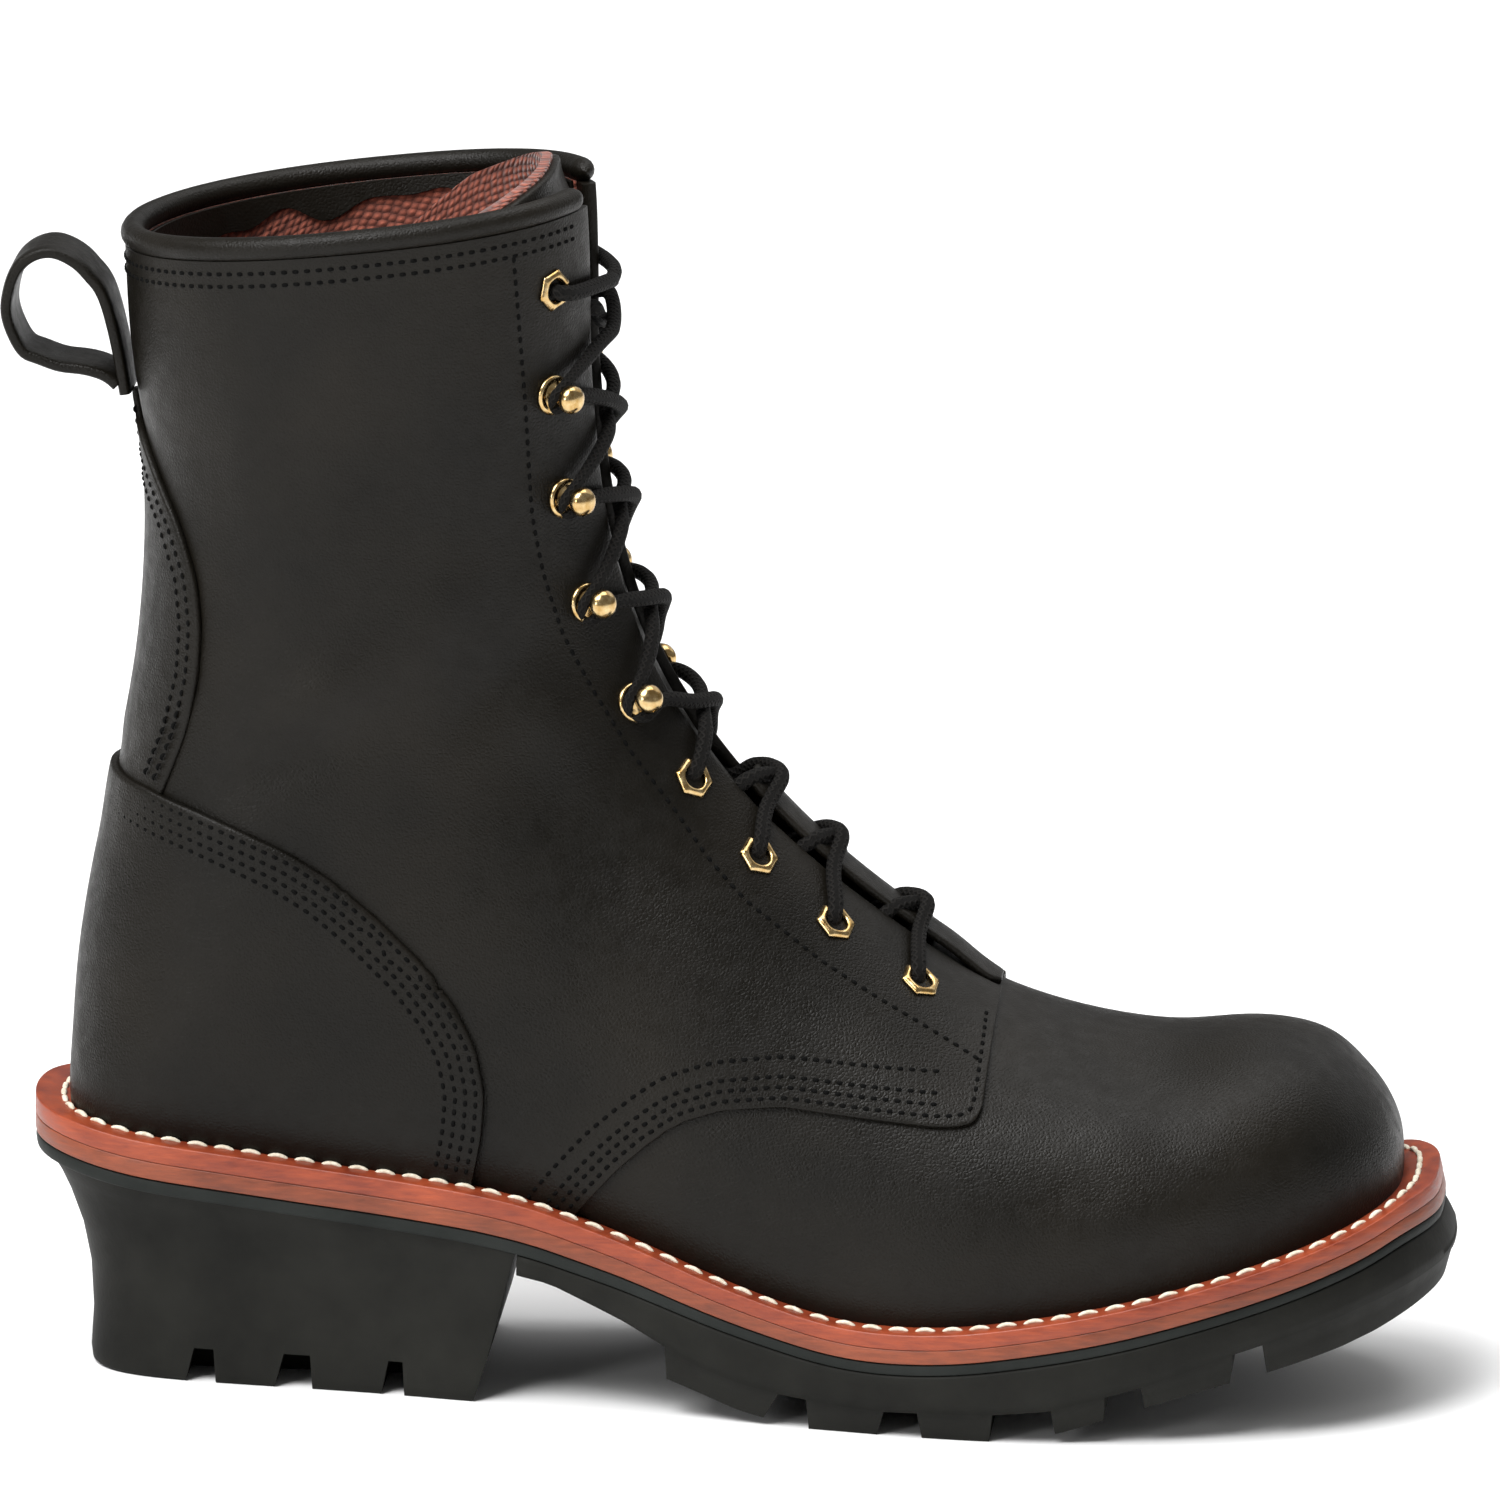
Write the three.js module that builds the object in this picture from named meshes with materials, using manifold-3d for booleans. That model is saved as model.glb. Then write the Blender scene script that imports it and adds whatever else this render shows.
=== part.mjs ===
// Logger boot for the right foot: lace-up leather upper on a welted sole with a tall lugged heel.
// Millimetres. +X points to the toe, +Y to the inner side of the foot, +Z up, the floor is z = 0.
import * as THREE from 'three'
import Module from 'manifold-3d'

const wasm = await Module()
wasm.setup()

// Driving sizes of the last
const UPPER_LENGTH = 292
const SHAFT_HEIGHT = 264
const BALL_WIDTH = 101.4
const HEEL_HEIGHT = 60

// Leather, one layer over the next
const WALL = 2.2
const QUARTER_STEP = 1.4
const OVERLAY = 1.6
const TONGUE_THICKNESS = 2.6
const KILTIE_THICKNESS = 2.2
const GAP = 0.3

// Sole layers, from the welt down
const WELT = 3.9
const MIDSOLE = 3.8
const RUBBER_MIDSOLE = 3.2
const INSOLE_RISE = 2.4
const INSOLE_SEAT = 6.6
const TREAD_RIB = 13
const HEEL_GROOVE = 7.6

// Collar, pull loop, eyelets, hooks and lace
const COLLAR_ROLL = 5
const LOOP_WIDTH = 20
const LOOP_THICKNESS = 2.8
const EYELET_FLANGE = 9
const EYELET_BORE = 4.6
const EYELET_PLATE = 0.8
const BARREL_WALL = 0.35
const HOOK_BASE = 9
const HOOK_HEAD = 6.4
const HOOK_RISE = 7
const LACE = 3.8
const CROSSING = 0.76
const THROAT_TOP = 12.5
const THROAT_BOTTOM = 8

// How finely curved pieces are cut into facets
const AROUND = 28
const STATIONS = 32
const ROUND = 8
const CORD_SIDES = 5
const COLLAR_STEPS = 32

// Sections of the upper, fanned from the toe to the collar. x is a share of UPPER_LENGTH, z of SHAFT_HEIGHT,
// lateral, medial and ridge of BALL_WIDTH. widest is how far down the section its widest place lies.
// roundTop and roundSole are the powers of the curve: 2 is an ellipse, 4 is nearly square.
const SECTION_COLUMNS = [
  'frontX', 'frontZ', 'backX', 'backZ', 'widest', 'lateral', 'medial', 'ridge', 'roundTop', 'roundSole',
]
const SECTIONS = [
  [0.847, 0.178, 0.847, 0.170, 0.50, 0.010, 0.010, 0.049, 2.00, 2.00],
  [0.846, 0.212, 0.846, 0.159, 0.50, 0.104, 0.104, 0.049, 2.10, 2.60],
  [0.841, 0.235, 0.841, 0.152, 0.55, 0.182, 0.178, 0.049, 2.15, 3.00],
  [0.831, 0.256, 0.831, 0.140, 0.58, 0.256, 0.242, 0.048, 2.20, 3.40],
  [0.815, 0.276, 0.815, 0.129, 0.60, 0.325, 0.301, 0.046, 2.25, 3.60],
  [0.793, 0.297, 0.793, 0.117, 0.62, 0.390, 0.353, 0.043, 2.30, 3.80],
  [0.762, 0.308, 0.762, 0.106, 0.63, 0.450, 0.397, 0.039, 2.30, 4.00],
  [0.721, 0.310, 0.721, 0.091, 0.63, 0.499, 0.426, 0.035, 2.30, 4.00],
  [0.675, 0.306, 0.675, 0.078, 0.63, 0.535, 0.440, 0.030, 2.25, 4.00],
  [0.625, 0.311, 0.623, 0.066, 0.64, 0.556, 0.444, 0.026, 2.20, 4.00],
  [0.577, 0.325, 0.567, 0.055, 0.65, 0.562, 0.438, 0.022, 2.10, 4.00],
  [0.526, 0.348, 0.500, 0.048, 0.66, 0.552, 0.426, 0.018, 2.00, 4.00],
  [0.473, 0.385, 0.426, 0.051, 0.66, 0.517, 0.408, 0.014, 1.95, 4.00],
  [0.421, 0.427, 0.342, 0.076, 0.66, 0.469, 0.387, 0.010, 1.90, 3.90],
  [0.377, 0.471, 0.250, 0.117, 0.64, 0.420, 0.367, 0.007, 1.90, 3.80],
  [0.340, 0.515, 0.151, 0.144, 0.60, 0.383, 0.353, 0.004, 1.90, 3.70],
  [0.308, 0.562, 0.048, 0.159, 0.56, 0.359, 0.344, 0.002, 1.95, 3.60],
  [0.283, 0.611, -0.068, 0.167, 0.53, 0.347, 0.338, 0.000, 2.00, 3.40],
  [0.263, 0.661, -0.144, 0.193, 0.51, 0.343, 0.337, 0.000, 2.10, 3.10],
  [0.249, 0.708, -0.153, 0.273, 0.50, 0.344, 0.340, 0.000, 2.15, 2.60],
  [0.239, 0.752, -0.148, 0.345, 0.49, 0.349, 0.345, 0.000, 2.20, 2.35],
  [0.232, 0.792, -0.138, 0.420, 0.48, 0.355, 0.353, 0.000, 2.25, 2.20],
  [0.228, 0.830, -0.126, 0.489, 0.48, 0.364, 0.362, 0.000, 2.30, 2.15],
  [0.225, 0.864, -0.114, 0.557, 0.48, 0.373, 0.372, 0.000, 2.30, 2.15],
  [0.224, 0.896, -0.106, 0.625, 0.48, 0.383, 0.382, 0.000, 2.30, 2.15],
  [0.223, 0.926, -0.103, 0.699, 0.48, 0.394, 0.393, 0.000, 2.30, 2.15],
  [0.222, 0.953, -0.106, 0.775, 0.48, 0.407, 0.406, 0.000, 2.30, 2.15],
  [0.221, 0.977, -0.119, 0.856, 0.48, 0.422, 0.421, 0.000, 2.30, 2.15],
  [0.219, 1.000, -0.126, 0.951, 0.48, 0.437, 0.436, 0.000, 2.30, 2.15],
]
const COLLAR = SECTIONS.length - 1

// Side profiles of the sole. x is a share of UPPER_LENGTH, z of HEEL_HEIGHT.
const FEATHERLINE = [
  [-0.212, 1.017], [-0.192, 1.005], [-0.154, 0.977], [-0.103, 0.938], [-0.041, 0.907], [0.027, 0.870],
  [0.113, 0.827], [0.161, 0.797], [0.199, 0.758], [0.233, 0.707], [0.274, 0.640], [0.329, 0.540],
  [0.380, 0.460], [0.425, 0.408], [0.469, 0.392], [0.517, 0.403], [0.562, 0.433], [0.616, 0.482],
  [0.671, 0.543], [0.736, 0.630], [0.788, 0.707], [0.829, 0.782], [0.856, 0.840], [0.910, 0.945],
]
const SHANK_AND_GROOVES = [
  [0.150, 0.520], [0.182, 0.510], [0.212, 0.478], [0.270, 0.352], [0.322, 0.215], [0.356, 0.160],
  [0.387, 0.130], [0.428, 0.105], [0.466, 0.095], [0.548, 0.107], [0.592, 0.128], [0.634, 0.183],
  [0.661, 0.220], [0.726, 0.333], [0.760, 0.383], [0.805, 0.450], [0.856, 0.533], [0.900, 0.610],
]
const TREAD = [
  [0.300, 0.145], [0.325, 0.105], [0.356, 0.050], [0.387, 0.016], [0.405, 0.000], [0.562, 0.000],
  [0.603, 0.043], [0.634, 0.092], [0.678, 0.158], [0.712, 0.205], [0.760, 0.265], [0.808, 0.330],
  [0.832, 0.372], [0.860, 0.430], [0.882, 0.480], [0.900, 0.520],
]

// How far the welt's edge stands out from the foot of the last: x as before, reach as a share of BALL_WIDTH
const WELT_REACH = [
  [-0.22, 0.107], [0.14, 0.104], [0.24, 0.090], [0.38, 0.076], [0.68, 0.078], [0.80, 0.088],
  [0.86, 0.098], [0.90, 0.100],
]
// The outsole's toe bumper, past the welt
const BUMPER_REACH = [[0.20, 0.0], [0.72, 0.0], [0.80, 0.018], [0.86, 0.048], [0.90, 0.052]]

// Heel block: share of its own height, undercut behind as a share of BALL_WIDTH, and its breast's x
const HEEL_LEVELS = [
  [1.000, 0.030, 0.186],
  [0.830, 0.082, 0.180],
  [0.670, 0.113, 0.176],
  [0.480, 0.134, 0.171],
  [0.250, 0.142, 0.164],
  [0.060, 0.138, 0.157],
  [0.000, 0.150, 0.155],
]
const HEEL_TOP_BREAST = HEEL_LEVELS[0][2]
const HEEL_SIDE_TAPER = 0.42

// Grooves cut into each side of the heel and of the tread: from and to at the floor, and at their roof
const HEEL_GROOVES = [
  [-0.071, -0.041, -0.060, -0.045], [-0.003, 0.033, 0.009, 0.029], [0.080, 0.103, 0.089, 0.100],
]
const TREAD_GROOVES = [
  [0.362, 0.413, 0.388, 0.409], [0.458, 0.501, 0.468, 0.493], [0.546, 0.602, 0.550, 0.594],
  [0.632, 0.672, 0.634, 0.661], [0.722, 0.765, 0.728, 0.750],
]

// Edges of the sewn panels, seen from the side: x and z as for the sections
const QUARTER_EDGE = [
  [0.545, 0.420], [0.538, 0.345], [0.538, 0.314], [0.536, 0.299], [0.533, 0.264], [0.524, 0.255],
  [0.499, 0.254], [0.441, 0.260], [0.385, 0.266], [0.339, 0.261], [0.310, 0.249], [0.284, 0.229],
  [0.261, 0.206], [0.240, 0.175], [0.220, 0.120],
]
const COUNTER_EDGE = [
  [-0.230, 0.500], [-0.134, 0.508], [-0.120, 0.512], [-0.085, 0.499], [-0.028, 0.480], [0.042, 0.440],
  [0.080, 0.402], [0.118, 0.363], [0.142, 0.334], [0.157, 0.308], [0.161, 0.281], [0.154, 0.227],
  [0.150, 0.150], [0.148, 0.080], [-0.230, 0.080],
]
const BACKSTAY_EDGE = [
  [-0.230, 0.822], [-0.1195, 0.822], [-0.1105, 0.772], [-0.092, 0.760], [-0.076, 0.730], [-0.061, 0.684],
  [-0.057, 0.645], [-0.060, 0.599], [-0.070, 0.549], [-0.087, 0.500], [-0.110, 0.440], [-0.230, 0.440],
]

// Middle line of the pull loop's strap, x and z as for the sections: from its sewn foot out, and back below
const PULL_LOOP_ABOVE = [
  [-0.1270, 0.825], [-0.1310, 0.848], [-0.1360, 0.873], [-0.1449, 0.906], [-0.1548, 0.922],
  [-0.1634, 0.932], [-0.1760, 0.940], [-0.1914, 0.942], [-0.2092, 0.929], [-0.2175, 0.903],
]
const PULL_LOOP_BELOW = [
  [-0.2175, 0.903], [-0.2160, 0.882], [-0.2060, 0.860], [-0.1949, 0.853], [-0.1781, 0.847],
  [-0.1613, 0.845], [-0.1440, 0.840], [-0.1350, 0.832],
]

// Where eyelets and hooks sit: section of the fan and turn around it, from the front line
const EYELETS = [[11.8, 0.454], [13.0, 0.471], [14.25, 0.485], [15.6, 0.471], [26.0, 0.637]]
const HOOKS = [[17.0, 0.497], [18.8, 0.55], [20.9, 0.602], [23.35, 0.66]]
const EYELET_NAMES = ['1', '2', '3', '4', '9']

// Where the throat, kiltie and tongue begin and end along the fan
const THROAT_START = 10.95
const KILTIE_SPAN = [10.9, 14.9]
const KILTIE_HALF_WIDTH = 8.6
const TONGUE_START = 9.6
const TONGUE_TURN = [0.42, 0.62]
const TONGUE_ABOVE = 0.25

// Natural cubic spline through rows of numbers, read at a row number that need not be whole
function spline(rows) {
  const last = rows.length - 1
  const bends = rows[0].map((_, c) => {
    const diagonal = Array(last + 1).fill(4)
    const curl = (i) => 6 * (rows[i + 1][c] - 2 * rows[i][c] + rows[i - 1][c])
    const right = rows.map((_, i) => (i === 0 || i === last ? 0 : curl(i)))
    for (let i = 2; i < last; i++) {
      diagonal[i] -= 1 / diagonal[i - 1]
      right[i] -= right[i - 1] / diagonal[i - 1]
    }
    const bend = Array(last + 1).fill(0)
    for (let i = last - 1; i > 0; i--) bend[i] = (right[i] - bend[i + 1]) / diagonal[i]
    return bend
  })
  return (t) => {
    const i = Math.min(Math.max(Math.floor(t), 0), last - 1)
    const u = t - i
    return rows[0].map((_, c) => {
      const a = bends[c][i]
      const b = bends[c][i + 1]
      const line = (rows[i][c] - a / 6) * (1 - u) + (rows[i + 1][c] - b / 6) * u
      return line + (a * (1 - u) ** 3 + b * u ** 3) / 6
    })
  }
}

// The smooth curve of a table of [x, z] pairs, in millimetres, sampled closely and read by x
function profile(table, xSize, zSize, close = 8) {
  const curve = spline(table.map(([x, z]) => [x * xSize, z * zSize]))
  const points = []
  for (let i = 0; i <= (table.length - 1) * close; i++) points.push(curve(i / close))
  return points
}

// Straight reading between the points of a list of [x, value]
function read(points, x) {
  let i = points.findIndex((p) => p[0] > x) - 1
  if (i === -2) i = points.length - 2
  i = Math.min(Math.max(i, 0), points.length - 2)
  const [a, b] = [points[i], points[i + 1]]
  return a[1] + ((x - a[0]) / (b[0] - a[0])) * (b[1] - a[1])
}

const scaled = (table, zSize) => table.map(([x, z]) => [x * UPPER_LENGTH, z * zSize])
const featherCurve = profile(FEATHERLINE, UPPER_LENGTH, HEEL_HEIGHT)
const featherZ = (x) => read(featherCurve, x)
const shankCurve = scaled(SHANK_AND_GROOVES, HEEL_HEIGHT)
const treadCurve = scaled(TREAD, HEEL_HEIGHT)
const weltReach = (x) => read(scaled(WELT_REACH, BALL_WIDTH), x)
const bumperReach = (x) => read(scaled(BUMPER_REACH, BALL_WIDTH), x)

// A point of the last's form: t runs from toe to collar, turn from the front line round the outer side
const sizes = [
  UPPER_LENGTH, SHAFT_HEIGHT, UPPER_LENGTH, SHAFT_HEIGHT, 1, BALL_WIDTH, BALL_WIDTH, BALL_WIDTH, 1, 1,
]
const fan = spline(SECTIONS.map((row) => row.map((share, c) => share * sizes[c])))
function formPoint(t, turn) {
  const row = fan(t)
  const s = Object.fromEntries(SECTION_COLUMNS.map((name, c) => [name, row[c]]))
  const sin = Math.sin(turn)
  const cos = Math.cos(turn)
  const power = cos >= 0 ? s.roundTop : s.roundSole
  const out = Math.abs(sin) ** (2 / power)
  const along = Math.abs(cos) ** (2 / power)
  const down = cos >= 0 ? s.widest * (1 - along) : s.widest + (1 - s.widest) * along
  const y = s.ridge + (sin >= 0 ? -s.lateral : s.medial) * out
  const x = s.frontX + (s.backX - s.frontX) * down
  return new THREE.Vector3(x, y, s.frontZ + (s.backZ - s.frontZ) * down)
}

// Its outward direction there
function formNormal(t, turn) {
  const step = 0.05
  const before = Math.min(Math.max(t, step), COLLAR - step)
  const along = formPoint(before + step, turn).sub(formPoint(before - step, turn))
  const round = formPoint(t, turn + step).sub(formPoint(t, turn - step))
  return round.cross(along).normalize().negate()
}

const shell = (t, turn, out) => formPoint(t, turn).addScaledVector(formNormal(t, turn), out)
const ring = (t, out) => Array.from({ length: AROUND }, (_, k) => shell(t, (2 * Math.PI * k) / AROUND, out))

// A closed body from points and triangles, turned outside out
function solid(points, triangles) {
  const part = ([a, b, c]) => points[a].dot(points[b].clone().cross(points[c]))
  const volume = triangles.reduce((sum, face) => sum + part(face), 0)
  const faces = volume < 0 ? triangles.map(([a, b, c]) => [a, c, b]) : triangles
  const vertProperties = new Float32Array(points.flatMap((p) => p.toArray()))
  const triVerts = new Uint32Array(faces.flat())
  return new wasm.Manifold(new wasm.Mesh({ numProp: 3, vertProperties, triVerts }))
}

// Triangles that close a ring by rungs between its sides; it starts at a tip, and ends at a tip or an edge
function ladder(n, base, flip) {
  const triangles = [[0, 1, n - 1]]
  for (let k = 1; 2 * k + 1 < n; k++) {
    triangles.push([k, k + 1, n - k])
    if (k + 1 < n - k - 1) triangles.push([k + 1, n - k - 1, n - k])
  }
  return triangles.map(([a, b, c]) => (flip ? [a, c, b] : [a, b, c]).map((corner) => base + corner))
}

// A body through rings of equal count, closed at both ends, or joined last to first when it is a hoop
function loft(rings, hoop = false) {
  const n = rings[0].length
  const triangles = hoop ? [] : [...ladder(n, 0, true), ...ladder(n, (rings.length - 1) * n, false)]
  for (let r = 0; r < rings.length - (hoop ? 0 : 1); r++) {
    const a = r * n
    const b = ((r + 1) % rings.length) * n
    for (let k = 0; k < n; k++) {
      const next = (k + 1) % n
      triangles.push([a + k, a + next, b + k], [a + next, b + next, b + k])
    }
  }
  return solid(rings.flat(), triangles)
}

// A flat outline of [x, z] pairs carried along y
function prism(outline, y0, y1) {
  const flat = outline.map(([x, z]) => new THREE.Vector2(x, z))
  const faces = THREE.ShapeUtils.triangulateShape(flat, [])
  const points = [y0, y1].flatMap((y) => outline.map(([x, z]) => new THREE.Vector3(x, y, z)))
  const n = outline.length
  const area = THREE.ShapeUtils.area(flat)
  const facing = ([a, b, c]) => (area < 0 ? [a, c, b] : [a, b, c])
  const near = faces.map(facing)
  const far = near.map(([a, b, c]) => [n + a, n + c, n + b])
  const triangles = [...near, ...far]
  for (let k = 0; k < n; k++) {
    const next = (k + 1) % n
    triangles.push([next, k, n + k], [next, n + k, n + next])
  }
  return solid(points, triangles)
}

// A three.js geometry as a closed body
function fromGeometry(geometry) {
  const source = geometry.index ? geometry.toNonIndexed() : geometry
  const position = source.getAttribute('position')
  const found = new Map()
  const points = []
  const corners = []
  for (let i = 0; i < position.count; i++) {
    const p = new THREE.Vector3().fromBufferAttribute(position, i)
    const key = p.toArray().map((v) => Math.round(v * 1e4)).join()
    if (!found.has(key)) {
      found.set(key, points.length)
      points.push(p)
    }
    corners.push(found.get(key))
  }
  const triangles = []
  for (let i = 0; i < corners.length; i += 3) {
    const [a, b, c] = corners.slice(i, i + 3)
    if (a !== b && b !== c && a !== c) triangles.push([a, b, c])
  }
  return solid(points, triangles)
}

const WIDE = BALL_WIDTH
const spread = (table) => table.map(([x, z]) => [x * UPPER_LENGTH, z * SHAFT_HEIGHT])

// The last's whole form, grown outward by so many millimetres
const sectionsAt = Array.from({ length: COLLAR + 1 }, (_, i) => i)
const form = (out) => loft(sectionsAt.map((t) => ring(t, out)))

// The room inside the wall, which runs on above the collar
function room(wall) {
  const rings = sectionsAt.slice(1).map((t) => ring(t, -wall))
  const top = rings[rings.length - 1]
  const under = rings[rings.length - 2]
  rings.push(top.map((p, k) => p.clone().add(p.clone().sub(under[k]).setLength(4 * WALL + 4))))
  return loft(rings)
}

// Everything under the featherline, raised by so many millimetres
function underFeather(rise) {
  const floor = -HEEL_HEIGHT
  const curve = featherCurve.filter((_, i) => i % 4 === 0).map(([x, z]) => [x, z + rise])
  const [first, last] = [curve[0], curve[curve.length - 1]]
  const [behind, ahead] = [first[0] - WIDE, last[0] + WIDE]
  const around = [[behind, first[1]], ...curve, [ahead, last[1]], [ahead, floor], [behind, floor]]
  return prism(around, -WIDE, WIDE)
}

// Foot of the last: the closed line where its form meets the featherline, as [x, y] pairs
function footLine() {
  const sides = [[], []]
  for (let i = 0; i <= COLLAR * 14; i++) {
    const t = i / 14
    for (const side of [0, 1]) {
      const at = (turn) => formPoint(t, side ? -turn : turn)
      let [low, high] = [0, Math.PI]
      const above = (turn) => {
        const p = at(turn)
        return p.z > featherZ(p.x)
      }
      if (!above(low) || above(high)) continue
      for (let n = 0; n < 30; n++) {
        const middle = (low + high) / 2
        if (above(middle)) low = middle
        else high = middle
      }
      const p = at(low)
      sides[side].push([p.x, p.y])
    }
  }
  return [...sides[0], ...sides[1].reverse()]
}

const foot = footLine()

// An outline of the foot grown by reach(x): its two sides from tail to tip, and its limits along x
function outline(reach, back = -Infinity, front = Infinity) {
  const n = foot.length
  const grown = foot.map(([x, y], i) => {
    const [x0, y0] = foot[(i + n - 5) % n]
    const [x1, y1] = foot[(i + 5) % n]
    const length = Math.hypot(x1 - x0, y1 - y0)
    const out = reach(x) / length
    return [x + (y0 - y1) * out * turnSign, y + (x1 - x0) * out * turnSign]
  })
  const xs = grown.map((p) => p[0])
  const [tail, tip] = [Math.min(...xs), Math.max(...xs)]
  const [tailAt, tipAt] = [xs.indexOf(tail), xs.indexOf(tip)]
  const walk = (from, to) => {
    const side = []
    for (let i = from; i !== to; i = (i + 1) % n) side.push(grown[i])
    side.push(grown[to])
    return side
  }
  const rising = (points) => points.sort((a, b) => a[0] - b[0])
  const [one, two] = [rising(walk(tipAt, tailAt)), rising(walk(tailAt, tipAt))]
  const [lateral, medial] = one[one.length >> 1][1] < two[two.length >> 1][1] ? [one, two] : [two, one]
  return { tail, tip, lateral, medial, tailY: grown[tailAt][1], tipY: grown[tipAt][1], back, front }
}
const footArea = foot.reduce((sum, [x, y], i) => {
  const [x1, y1] = foot[(i + 1) % foot.length]
  return sum + x * y1 - x1 * y
}, 0)
const turnSign = footArea > 0 ? -1 : 1

// The loop of an outline with its height read from z(x). Stations crowd towards its round ends.
function loop(line, z) {
  const from = Math.max(line.tail, line.back)
  const to = Math.min(line.tip, line.front)
  const cutBack = line.back > line.tail
  const cutFront = line.front < line.tip
  const [a0, a1] = [cutBack ? Math.PI / 2 : 0, cutFront ? Math.PI / 2 : Math.PI]
  const xs = Array.from({ length: STATIONS + 1 }, (_, k) => {
    const a = a0 + ((a1 - a0) * k) / STATIONS
    return from + ((to - from) * (Math.cos(a0) - Math.cos(a))) / (Math.cos(a0) - Math.cos(a1))
  })
  const at = (x, y) => new THREE.Vector3(x, y, z(x))
  const inner = xs.slice(1, -1)
  const lateral = inner.map((x) => at(x, read(line.lateral, x)))
  const medial = inner.map((x) => at(x, read(line.medial, x))).reverse()
  const across = (x) => [at(x, read(line.lateral, x)), at(x, read(line.medial, x))]
  const ends = (x, cut, y) => (cut ? across(x) : [at(x, y)])
  const tail = ends(from, cutBack, line.tailY)
  const tip = ends(to, cutFront, line.tipY)
  if (!cutBack) return [tail[0], ...lateral, ...tip, ...medial]
  return [tip[0], ...lateral.reverse(), ...tail, ...medial.reverse()]
}

// Upper: one hollow leather shell. The quarters are the form grown by a step, the vamp the form itself.
const quarterProfile = spread(QUARTER_EDGE)
const quarterFront = quarterProfile[0][0]
const aboveCollar = 2 * SHAFT_HEIGHT
const quarterOutline = [...quarterProfile, [-WIDE, 0], [-WIDE, aboveCollar], [quarterFront, aboveCollar]]
const quarterRegion = prism(quarterOutline, -WIDE, WIDE)

// The throat's cut, along the front line, as wide as the two eyestays leave open
function throat() {
  const rings = []
  for (let t = THROAT_START; t <= COLLAR + 1; t += 1) {
    const row = fan(Math.min(t, COLLAR))
    const share = (Math.min(t, COLLAR) - THROAT_START) / (COLLAR - THROAT_START)
    const half = THROAT_BOTTOM + (THROAT_TOP - THROAT_BOTTOM) * share
    const front = new THREE.Vector3(row[0], 0, row[1])
    const into = new THREE.Vector3(row[2] - row[0], 0, row[3] - row[1]).normalize()
    if (t > COLLAR) front.z += 4 * WALL
    const out = front.clone().addScaledVector(into, -6)
    const deep = front.clone().addScaledVector(into, 12)
    const sides = [-half, half, half, -half]
    rings.push([out, out, deep, deep].map((p, k) => p.clone().setY(row[7] + sides[k])))
  }
  return loft(rings)
}

// A round cutter through the wall at an eyelet
const seatAt = (t, turn, out) => {
  const normal = formNormal(t, turn)
  return { place: formPoint(t, turn).addScaledVector(normal, out), normal }
}
function standing(geometry, seat) {
  const spin = new THREE.Quaternion().setFromUnitVectors(new THREE.Vector3(0, 1, 0), seat.normal)
  return geometry.clone().applyQuaternion(spin).translate(...seat.place.toArray())
}
const bothSides = (list) => list.flatMap(([t, turn], i) => [
  { i, t, turn, side: 'lateral' },
  { i, t, turn: -turn, side: 'medial' },
])
const eyeletSeats = bothSides(EYELETS).map((e) => ({ ...e, seat: seatAt(e.t, e.turn, QUARTER_STEP) }))
const hookSeats = bothSides(HOOKS).map((h) => ({ ...h, seat: seatAt(h.t, h.turn, QUARTER_STEP) }))

function makeUpper() {
  let upper = form(0).add(form(QUARTER_STEP).intersect(quarterRegion))
  upper = upper.subtract(room(WALL)).subtract(underFeather(2 * GAP)).subtract(throat())
  const holeRadius = EYELET_BORE / 2 + BARREL_WALL + GAP
  const hole = new THREE.CylinderGeometry(holeRadius, holeRadius, 16, ROUND)
  for (const { seat } of eyeletSeats) upper = upper.subtract(fromGeometry(standing(hole, seat)))
  return upper
}

// Counter and backstay: skins between two grown forms, kept inside their sewn outlines
const skin = form(QUARTER_STEP + GAP + OVERLAY).subtract(form(QUARTER_STEP + GAP))
const counterProfile = spread(COUNTER_EDGE)
const counterRegion = prism(counterProfile, -WIDE, WIDE)
const raised = prism(counterProfile.map(([x, z]) => [x + GAP, z + GAP + 0.1]), -WIDE, WIDE)
const makeCounter = () => skin.intersect(counterRegion).subtract(underFeather(2 * GAP))
const makeBackstay = () => skin.intersect(prism(spread(BACKSTAY_EDGE), -WIDE, WIDE)).subtract(raised)

// A strip that follows the front line: its outer face at one growth of the form, its inner face at another
function strip(from, to, steps, turnAt, out, thickness, across) {
  const rings = []
  for (let i = 0; i <= steps; i++) {
    const share = i / steps
    const t = from + (to - from) * share
    const half = turnAt(t, share)
    const outer = []
    const inner = []
    for (let k = 0; k <= across; k++) {
      const turn = half * (1 - (2 * k) / across)
      outer.push(shell(t, turn, out))
      inner.push(shell(t, turn, out - thickness))
    }
    rings.push([...outer, ...inner.reverse()])
  }
  return loftStrip(rings, across)
}
// Its ends close by rungs between outer and inner face
function loftStrip(rings, across) {
  const n = rings[0].length
  const triangles = []
  for (let r = 0; r < rings.length - 1; r++) {
    for (let k = 0; k < n; k++) {
      const next = (k + 1) % n
      const [here, there] = [r * n, (r + 1) * n]
      triangles.push([here + k, here + next, there + k], [here + next, there + next, there + k])
    }
  }
  const last = (rings.length - 1) * n
  for (let k = 0; k < across; k++) {
    const [a, b, c, d] = [k, k + 1, n - 2 - k, n - 1 - k]
    triangles.push([a, d, b], [b, d, c])
    triangles.push([last + a, last + b, last + d], [last + b, last + c, last + d])
  }
  return solid(rings.flat(), triangles)
}
const turnForHalfWidth = (t, half) => {
  const row = fan(t)
  return Math.asin(Math.min(1, (half / row[5]) ** (row[8] / 2)))
}
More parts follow.
